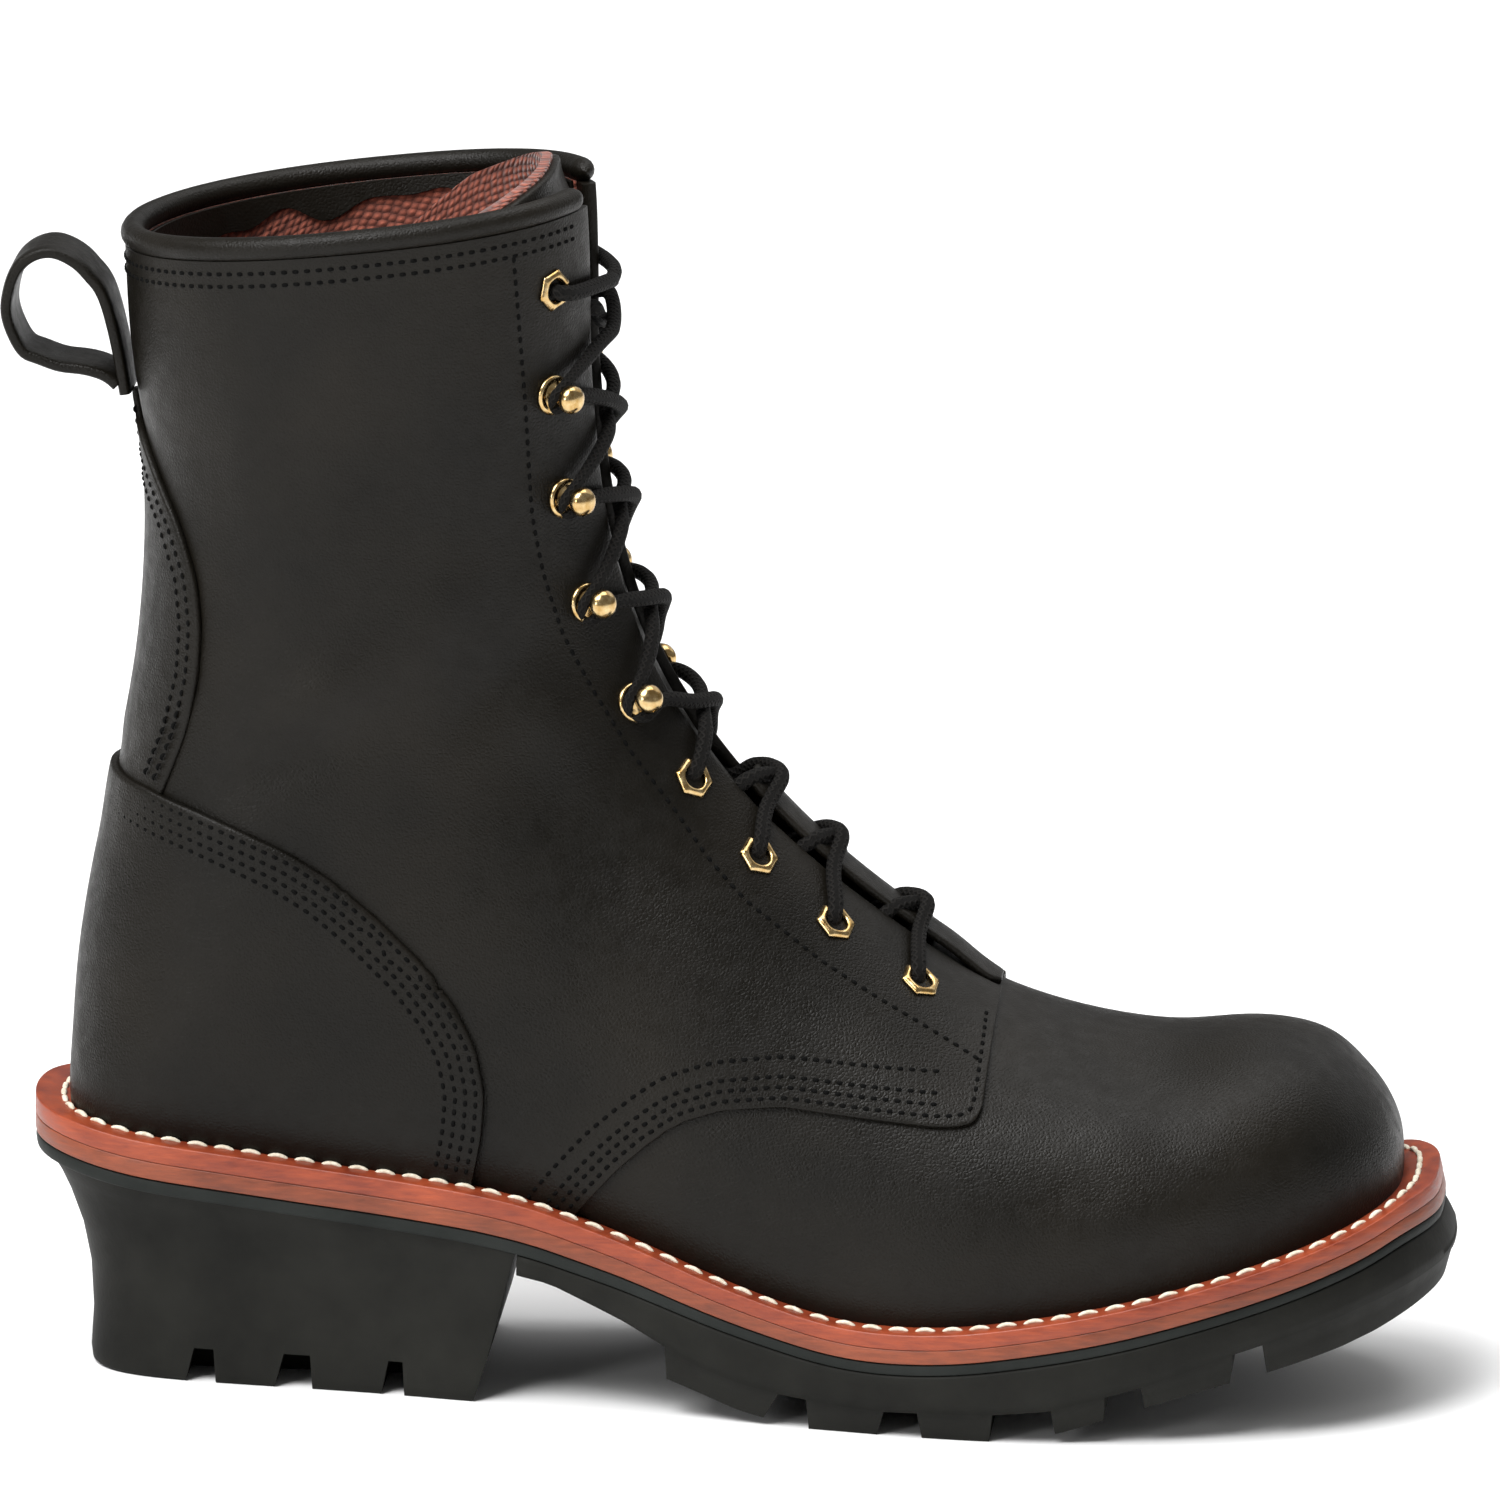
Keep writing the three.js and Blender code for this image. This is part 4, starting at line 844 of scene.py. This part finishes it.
# Welt
# A band of orange-brown leather around the foot, rounded at its edge. It is sewn to the upper, and its light
# stitches go on through the midsole.
def foot_sides():
    """The closed line where the form meets the featherline, evenly spaced from the back round the outer side."""
    t = np.linspace(0.05, 19.2, 500)
    outer, inner = crossing(t, 0.0)
    keep = (outer > 0) & (outer < np.pi) & (inner < np.pi)
    ring = np.concatenate([form(t[keep], outer[keep])[::-1, :2], form(t[keep], -inner[keep])[:, :2]])
    ring = ring[np.concatenate([[True], np.linalg.norm(np.diff(ring, axis=0), axis=1) > 0.05])]
    closed = np.concatenate([ring, ring[:1]])
    run = lengths(closed)
    line = read_at(np.linspace(0, run[-1], 421)[:-1], run, closed)
    return blurred(np.concatenate([line[-4:], line, line[:4]]), np.exp(-np.linspace(-2, 2, 9) ** 2))


FOOT = foot_sides()


def reach(x):
    """How far the welt stands out from the foot."""
    return np.interp(x, [-64, 41, 70, 111, 199, 234, 251, 263], [10.9, 10.5, 9.1, 7.7, 7.9, 8.9, 9.9, 10.1])


def bumper(x):
    """How far the toe bumper stands out past the welt."""
    return np.interp(x, [58, 210, 234, 251, 263], [0, 0, 1.6, 4.3, 4.6])


def outline(grow):
    """The foot's line grown by grow, a number or an array, square to itself."""
    along = unit(np.roll(FOOT, -3, 0) - np.roll(FOOT, 3, 0))
    out = np.stack([along[:, 1], -along[:, 0]], -1)
    area = np.sum(FOOT[:, 0] * np.roll(FOOT[:, 1], -1) - FOOT[:, 1] * np.roll(FOOT[:, 0], -1))
    out *= np.sign(area)
    return FOOT + out * np.broadcast_to(np.asarray(grow, float), (len(FOOT),))[:, None]


def leaned(flat, depth):
    """An outline moved back at the toe, where the trimmed edge slopes: most at the top of the welt."""
    moved = flat.copy()
    moved[:, 0] -= max(1.8 - 0.22 * max(depth, 0), 0) * smooth((flat[:, 0] - 225) / 35)
    return moved


def thick(x):
    """Share of the layers' full thickness: more under the heel, less under the forepart."""
    return 1.07 - 0.2 * smooth((x - 50) / 80)


def layer(less, depth):
    """A loop of the sole: the welt's outline less so many mm, at a depth below the featherline."""
    flat = leaned(outline(reach(FOOT[:, 0]) - less), depth)
    return np.concatenate([flat, (feather_z(flat[:, 0]) - depth * thick(flat[:, 0]))[:, None]], 1)


def edge_leather(name, dark, light, rough):
    """Edge-dressed sole leather: streaks that run along the layer, and a little wear."""
    material, tree, shader, place = blank(name, rough)
    squeezed = add(tree, "ShaderNodeMapping", {"Vector": place}, Scale=(1, 1, 7))
    streaks = noise(tree, squeezed.outputs["Vector"], 160.0, 7.0, 0.65)
    colour = mix(tree, 0.4, ramp(tree, streaks, 0.32, 0.7, dark, light),
                 ramp(tree, noise(tree, place, 45.0, 3.0), 0.35, 0.7, dark, light))
    tree.links.new(colour, shader.inputs["Base Color"])
    paint(tree, shader, "Roughness", streaks, 0.3, 0.7, rough - 0.08, rough + 0.12)
    emboss(tree, shader, streaks, 0.35, 0.0003)
    return material


def rounded_band(name, top, depth, material, r, belly, less):
    """A closed band with rounded outer edges, from top to depth below the featherline, open in the middle."""
    edge = [(3.0, top), (r, top), (0.25 * r, top + 0.3 * r), (0, top + r), (-belly, (top + depth) / 2),
            (0, depth - r), (0.25 * r, depth - 0.3 * r), (r, depth)]
    points = np.stack([layer(HOLE, top), layer(8.0, top), *[layer(less + into, low) for into, low in edge],
                       layer(8.0, depth), layer(HOLE, depth)])
    n, m = points.shape[:2]
    k = np.arange(n * m).reshape(n, m)
    faces = np.stack([k, np.roll(k, -1, 1), np.roll(k, (-1, -1), (0, 1)), np.roll(k, -1, 0)], -1).reshape(-1, 4)
    uv = np.stack(np.broadcast_arrays(lengths(points[:1], 1), np.arange(n)[:, None]), -1)
    return mesh_object(name, points, facing_out(points, faces), material, uv)


# How far the layers reach in under the foot
HOLE = 16.5
WELT_LEATHER = edge_leather("orange-brown welt leather", "#6c2615", "#a84b28", 0.42)
belongs(rounded_band("welt_leather", 0.0, 3.95, WELT_LEATHER, 0.35, 0.0, 0.0), "welt_leather", "welt")


# Midsole
# The leather layer under the welt, edge-dressed in the same colour but browner and darker. It is sewn to
# the welt and trimmed flush with it.
MIDSOLE_LEATHER = edge_leather("dark brown midsole leather", "#5e2a16", "#96492a", 0.45)
belongs(rounded_band("midsole_leather", 3.97, 7.6, MIDSOLE_LEATHER, 0.3, 0.0, 0.1), "midsole_leather", "midsole")


# Insole
# The footbed of tan leather, the floor inside the upper. It lies in the opening of the welt and is seen only
# through the collar.
def filled(name, loops, material):
    """A closed body through loops around the foot, capped across by rungs from side to side."""
    points = np.stack(loops)
    n, m = points.shape[:2]
    half = np.arange(1, m // 2)
    rungs = np.stack([half - 1, half, m - 1 - half, m - half], -1)
    faces = np.concatenate([rings(n, m)[0], rungs[:, ::-1], rungs + (n - 1) * m])
    return mesh_object(name, points, facing_out(points, faces), material)


INSOLE_LEATHER = leather("tan insole leather", "#8a6a46", "#b08a60", 0.6, 1.4)
BED = ((15.5, 3.4), (13.0, 3.0), (12.4, 0.0), (12.6, -2.0), (13.6, -2.7))
belongs(filled("footbed", [layer(less, depth) for less, depth in BED], INSOLE_LEATHER), "insole_leather", "insole")


# Rubber midsole
# A thin band of moulded black rubber, glued between the leather midsole and the outsole, with a groove at
# its foot.
def rubber(name, dark, light, rough):
    """Moulded rubber: matt, faintly mottled, with a fine moulded grain."""
    material, tree, shader, place = blank(name, rough, 1.52, specular=0.16)
    clouds = noise(tree, place, 35.0, 5.0, 0.6)
    paint(tree, shader, "Base Color", clouds, 0.35, 0.68, dark, light)
    paint(tree, shader, "Roughness", clouds, 0.3, 0.7, rough + 0.08, rough - 0.08)
    emboss(tree, shader, noise(tree, place, 900.0, 3.0), 0.3, 0.0002)
    return material


BAND_RUBBER = rubber("dark grey band rubber", "#191c1a", "#242725", 0.6)
belongs(rounded_band("rubber_layer", 7.8, 10.6, BAND_RUBBER, 0.5, 0.15, 0.4), "band_rubber", "rubber_midsole")


# Heel
# A moulded block of matt black rubber, glued under the seat. It narrows to the floor, curves in at the back
# and has three grooves in each side.
SOLE_RUBBER = rubber("matt black rubber", "#12120f", "#1d1d19", 0.62)
HEEL_SHAPE = np.array([
    [1, 3, 54.3], [0.92, 5.9, 53.5], [0.83, 8.3, 52.6], [0.67, 11.5, 51.4], [0.48, 13.6, 49.9], [0.25, 14.4, 47.9],
    [0.06, 14, 45.8], [0.015, 14.3, 45.3], [0, 15.2, 44.9],
])
HEEL_GROOVES = np.array([[-20.7, -12.0, -17.5, -13.1], [-0.9, 9.6, 2.6, 8.5], [23.4, 30.1, 26.0, 29.2]])


def side_lines(grow):
    """A grown outline as two sides from the back to the toe, the outer one first."""
    line = outline(grow)
    line = np.roll(line, -np.argmin(line[:, 0]), 0)
    tip = np.argmax(line[:, 0])
    one, two = line[:tip + 1], np.concatenate([line[tip:], line[:1]])[::-1]
    return (one, two) if one[len(one) // 2, 1] < two[len(two) // 2, 1] else (two, one)


def level(grow, start, stop, height, n=110):
    """A loop of the grown outline between two limits of x, with stations that crowd towards round ends, at the
    height that the function gives for x."""
    outer, inner = side_lines(grow)
    tail, tip = outer[0, 0], outer[-1, 0]
    x0, x1 = max(tail, start), min(tip, stop)
    a0, a1 = (np.pi / 2 if start > tail else 0.0), (np.pi / 2 if stop < tip else np.pi)
    a = np.linspace(a0, a1, n)
    x = x0 + (x1 - x0) * (np.cos(a0) - np.cos(a)) / (np.cos(a0) - np.cos(a1))
    y = [np.interp(x, np.maximum.accumulate(side[:, 0]) + np.arange(len(side)) * 1e-7, side[:, 1])
         for side in (outer, inner)]
    x, y = np.concatenate([x, x[::-1]]), np.concatenate([y[0], y[1][::-1]])
    return np.stack([x, y, height(x)], -1)


def block(name, loops):
    """A body of sole rubber through cut loops, with doubled points at round ends welded."""
    obj = filled(name, loops, SOLE_RUBBER)
    obj.modifiers.new("weld", "WELD").merge_threshold = 2e-6
    return obj


PRISM = ((0, 1, 2, 3), (7, 6, 5, 4), (1, 0, 4, 5), (2, 1, 5, 6), (3, 2, 6, 7), (0, 3, 7, 4))


def cutters(name, grooves, roof, rib=13):
    """Prisms that cut a groove from each side up to the rib, as one mesh kept out of sight."""
    points, faces = [], []
    for x0, x1, x2, x3 in grooves:
        for low, high in ((-90, -rib), (rib, 90)):
            first = len(points)
            corners = [(x0, -6), (x1, -6), (x3, roof(x3)), (x2, roof(x2))]
            points += [(x, y, z) for y in (low, high) for x, z in corners]
            faces += [[first + i for i in f] for f in PRISM]
    obj = mesh_object(name, points, faces, SOLE_RUBBER)
    obj.hide_render = True
    obj.hide_viewport = True
    return obj


def combined(obj, operation, other):
    """Adds the other body to the piece or takes it away, as a modifier."""
    cut = obj.modifiers.new("combined", "BOOLEAN")
    cut.operation, cut.solver, cut.object = operation, "EXACT", other


def kept(obj, other):
    """Keeps the result of the modifiers as the piece's own mesh, and removes the other body."""
    bpy.context.view_layer.update()
    result = bpy.data.meshes.new_from_object(obj.evaluated_get(bpy.context.evaluated_depsgraph_get()))
    obj.modifiers.clear()
    obj.data = result
    bpy.data.objects.remove(other)
    return obj


def carved(obj, cutter, bevel):
    """Cuts the grooves and rounds all sharp edges."""
    combined(obj, "DIFFERENCE", cutter)
    soft = obj.modifiers.new("rounding", "BEVEL")
    soft.width, soft.segments, soft.limit_method, soft.angle_limit = bevel / 1000, 2, "ANGLE", np.radians(35)
    soft.harden_normals = False
    return kept(obj, cutter)


def heel():
    """Each level is a share of the local height, in by so many mm at the back and less at the breast."""
    x = FOOT[:, 0]
    back = side_lines(reach(x))[0][0, 0]
    loops = []
    for share, under, breast in HEEL_SHAPE:
        grow = reach(x) - under * (1 - 0.58 * np.clip((x - back) / (breast - back), 0, 1))
        loops.append(level(grow, -999, breast, lambda v: share * (feather_z(v) - 10.75 * thick(v))))
    return carved(block("heel_block", loops), cutters("heel_grooves", HEEL_GROOVES, lambda v: 7.6), 0.6)


belongs(heel(), "black_rubber", "heel")


# Outsole
# Matt black rubber moulded in one: a bare shank, a forepart with side lugs down to the floor and a middle
# rib, and a bumper around the toe. It is glued under the rubber band.
SHANK = np.array([
    [44, 31.2], [53, 30.6], [62, 28.7], [79, 21.1], [94, 12.9], [104, 9.6], [113, 7.8], [125, 6.3], [136, 5.7], [160, 6.4],
    [173, 7.7], [185, 11], [193, 13.2], [212, 20], [222, 23], [235, 27], [250, 32], [263, 36.6],
])
TREAD = np.array([
    [88, 8.7], [95, 6.3], [104, 3], [113, 1], [118, 0], [164, 0], [176, 2.6], [185, 5.5], [198, 9.5], [208, 12.3],
    [222, 15.9], [236, 19.8], [243, 22.3], [251, 25.8], [257.5, 28.8], [263, 31.2],
])
TREAD_GROOVES = np.array([
    [105.7, 120.6, 113.3, 119.4], [133.7, 146.3, 136.7, 144], [159.4, 175.8, 160.6, 173.4], [184.5, 196.2, 185.1, 193],
    [210.8, 223.4, 212.6, 219],
])


# Levels of the plate from its top to the shank: mm in from the welt, share of the bumper, start, share down
PLATE = ((0.8, 0, 54.8, 0), (0.5, 0.1, 54.7, 0.08), (0.5, 0.45, 54.6, 0.4), (0.8, 0.8, 54.6, 0.7), (1.2, 1, 54.6, 1))


def shank_z(x):
    """Height of the grooves' roof and of the shank's underside."""
    return np.interp(x, SHANK[:, 0], SHANK[:, 1])


def tread_z(x):
    """Height of the lugs' ends."""
    return np.interp(x, TREAD[:, 0], TREAD[:, 1])


def outsole():
    """The plate under the band, and the lugged tread below it, joined and carved."""
    x = FOOT[:, 0]

    def mixed(share):
        """Height between the plate's top and the shank's underside."""
        return lambda v: (feather_z(v) - 10.7 * thick(v)) * (1 - share) + shank_z(v) * share

    plate = block("outsole_rubber", [
        level(reach(x) - less + out * bumper(x), start, 999, mixed(share))
        for less, out, start, share in PLATE
    ])
    tread = block("tread", [
        level(reach(x) - 1.3 + bumper(x), 87.6, 999, lambda v: shank_z(v) + 0.8),
        level(reach(x) - 2.4 + bumper(x), 88.0, 999, lambda v: shank_z(v) * 0.5 + tread_z(v) * 0.5),
        level(reach(x) - 3.2 + bumper(x), 88.2, 999, tread_z),
    ])
    tread = carved(tread, cutters("tread_grooves", TREAD_GROOVES, shank_z), 0.7)
    combined(plate, "UNION", tread)
    return kept(plate, tread)


belongs(outsole(), "black_rubber", "outsole")


# Stitching
# Waxed black thread in rows along every lapped edge, and thick cream thread along the welt. Each stitch is
# a short bead whose two ends dip into the leather.
def thread(name, dark, light, rough):
    """Twisted thread with a slight change of colour from stitch to stitch."""
    material, tree, shader, place = blank(name, rough, specular=0.1)
    twist = noise(tree, place, 900.0, 3.0)
    paint(tree, shader, "Base Color", twist, 0.35, 0.7, dark, light)
    emboss(tree, shader, twist, 0.5, 0.0002)
    return material


def stitches(name, lines, pitch, share, radius, material, rise):
    """Beads along lines of points and outward directions: one every pitch mm, share of the pitch long."""
    middles, alongs, outs = [], [], []
    for points, normals in lines:
        run = lengths(points)
        count = max(1, int(run[-1] / pitch))
        at = (np.arange(count) + 0.5) * run[-1] / count
        middles.append(read_at(at, run, points))
        alongs.append(unit(read_at(at + 0.5, run, points) - read_at(at - 0.5, run, points)))
        outs.append(unit(read_at(at, run, normals)))
    middle, along, out = (np.concatenate(v) for v in (middles, alongs, outs))
    a = np.linspace(-1, 1, 7)[:, None]
    b = np.linspace(0, 2 * np.pi, 8, endpoint=False)[None]
    fat = radius * np.sqrt(np.maximum(1 - a ** 4, 0.02))
    bead = (a * pitch * share / 2 + 0 * b, fat * np.cos(b), fat * np.sin(b) * 0.8 + radius * (rise - 1.3 * a ** 2))
    axes = along, unit(np.cross(along, out)), out
    sides, caps = (copies(middle, axes, bead, faces) for faces in rings(7, 8, True))
    return mesh_object(name, sides[0], sides[1] + caps[1], material)


def sewn(line, distance, height, side, part=(0.0, 1.0)):
    """A row of stitches as points and outward directions: the line of [x, z] pairs on one side of the boot, moved
    across itself by a distance in mm, towards larger z for a line that runs to smaller x."""
    soft = soft_line(line, 300, 0.008)
    along = unit(np.gradient(soft, axis=0))
    soft = soft + np.stack([along[:, 1], -along[:, 0]], -1) * distance
    soft = soft[int(300 * part[0]):int(300 * part[1])]
    found = seen_at(soft_line(soft, 300, 0.004), side)
    both = np.concatenate([on_form(found[:, 0], found[:, 1], height), outward(found[:, 0], found[:, 1])], 1)
    both = soft_line(both, 300, 0.006)
    return both[:, :3], unit(both[:, 3:])


BLACK_THREAD = thread("waxed black thread", "#020202", "#070706", 0.8)
EYESTAY_LINE = np.array([
    [48.8, 257], [50.1, 241.8], [51.6, 219.7], [53.2, 198], [55.9, 184], [60.6, 169.7], [66.8, 157.8], [75.5, 143.8],
    [85.1, 131.7], [93, 121], [101.5, 112.1], [118.9, 99.2], [131.3, 91.8], [144.6, 84.6], [154.9, 79],
])
rows = []
for side in (1, -1):
    rows.append(sewn(EYESTAY_LINE, 0, STEP, side))
    rows.append(sewn(QUARTER_LINE, 2.0, STEP, side, (0.03, 0.985)))
    rows += [sewn(QUARTER_LINE, d, STEP, side, (0.24, 0.96)) for d in (4.2, 6.4, 10.4)]
    rows += [sewn(COUNTER_LINE, d, COUNTER_HEIGHT, side, (0.03, 0.96)) for d in (1.7, 4.0, 6.3, 8.6)]
    rows += [sewn(BACKSTAY_LINE, -d, BACKSTAY_HEIGHT, side, (0.03, 0.97)) for d in (2.0, 4.0)]
    for low in (2.8, 5.6):
        turn = side * np.linspace(0.42, np.pi, 200)
        t = COLLAR - low / pace(turn)
        rows.append((on_form(t, turn, STEP), outward(t, turn)))
belongs(stitches("black_stitches", rows, 2.6, 0.74, 0.44, BLACK_THREAD, 0.2), "black_leather")

# The cream stitches lie in the welt's top, about 4 mm out from the foot.
CREAM_THREAD = thread("cream thread", "#cfc4ae", "#f1e9d8", 0.6)
ring = outline(reach(FOOT[:, 0]) * 0.42)
ring[:, 0] -= 0.6 * smooth((ring[:, 0] - 225) / 30)
ring = np.concatenate([ring, ring[:1]])
path = np.concatenate([ring, feather_z(ring[:, 0])[:, None] + 0.1], 1)
slope = unit(np.gradient(path, axis=0))
ups = unit(np.array([0, 0, 1.0]) - slope * slope[:, 2:3])
belongs(stitches("welt_stitches", [(path, ups)], 6.0, 0.93, 0.66, CREAM_THREAD, 0.35), "lace_cord")


# Stage
# A floor of white paper under soft studio light, with no wall. The camera stands a little above the boot's
# outer side.
def floor():
    """One wide flat square."""
    x, y = np.meshgrid(np.linspace(-30000, 30000, 3), np.linspace(-30000, 30000, 3))
    material, tree, shader, place = blank("white paper", 0.9, specular=0.1)
    paint(tree, shader, "Base Color", noise(tree, place, 6.0, 2.0), 0.3, 0.7, 0.93, 0.95)
    return mesh_object("paper", np.stack([x, y, 0 * x], -1), quads(3, 3), material)


def lamp(name, kind, place, aim, **values):
    """A light at a place in metres, turned to its aim."""
    data = bpy.data.lights.new(name, kind)
    for key, value in values.items():
        setattr(data, key, value)
    obj = bpy.data.objects.new(name, data)
    obj.location = place
    obj.rotation_euler = (Vector(aim) - Vector(place)).to_track_quat("-Z", "Y").to_euler()
    bpy.context.scene.collection.objects.link(obj)
    return obj


paper = floor()
lights = [
    lamp("sky window", "SUN", (-1.0, -0.9, 2.2), (0, 0, 0), energy=3.1, angle=np.radians(50)),
    lamp("back window", "SUN", (1.0, 1.4, 1.6), (0, 0, 0), energy=0.5, angle=np.radians(60)),
    lamp("key", "AREA", (-0.5, -1.3, 2.1), (0.1, 0, 0.12), energy=22, size=0.9),
    lamp("side", "AREA", (-1.5, -2.3, 0.75), (0.1, 0, 0.12), energy=13, size=0.6),
    lamp("top", "AREA", (0.5, 0.3, 2.1), (0.1, 0, 0.1), energy=14, size=1.2),
]
world = bpy.data.worlds.new("studio")
world.use_nodes = True
world.node_tree.nodes["Background"].inputs["Color"].default_value = (1, 1, 1, 1)
world.node_tree.nodes["Background"].inputs["Strength"].default_value = 0.22
bpy.context.scene.world = world
bpy.context.scene.view_settings.view_transform = "Standard"

# The camera stands 5 m away at 12.2 degrees, turned 3.5 degrees towards the toe and rolled 1.1 degrees.
rise, swing, roll = np.radians((12.2, 3.5, 1.1))
back = np.array([np.sin(swing) * np.cos(rise), -np.cos(swing) * np.cos(rise), np.sin(rise)])
right = np.array([np.cos(swing), np.sin(swing), 0])
up = np.cross(back, right)
x_axis = right * np.cos(roll) + up * np.sin(roll)
y_axis = up * np.cos(roll) - right * np.sin(roll)
aim = np.array([0.1013, 0, 0.1315]) + y_axis * 0.0088
camera = bpy.data.objects.new("camera", bpy.data.cameras.new("camera"))
camera.data.lens, camera.data.sensor_width = 544.8, 36
camera.data.clip_end = 100
turn = Matrix(np.stack([x_axis, y_axis, back], 1).tolist()).to_4x4()
camera.matrix_world = Matrix.Translation(Vector(aim + back * 5)) @ turn
bpy.context.scene.collection.objects.link(camera)
bpy.context.scene.camera = camera
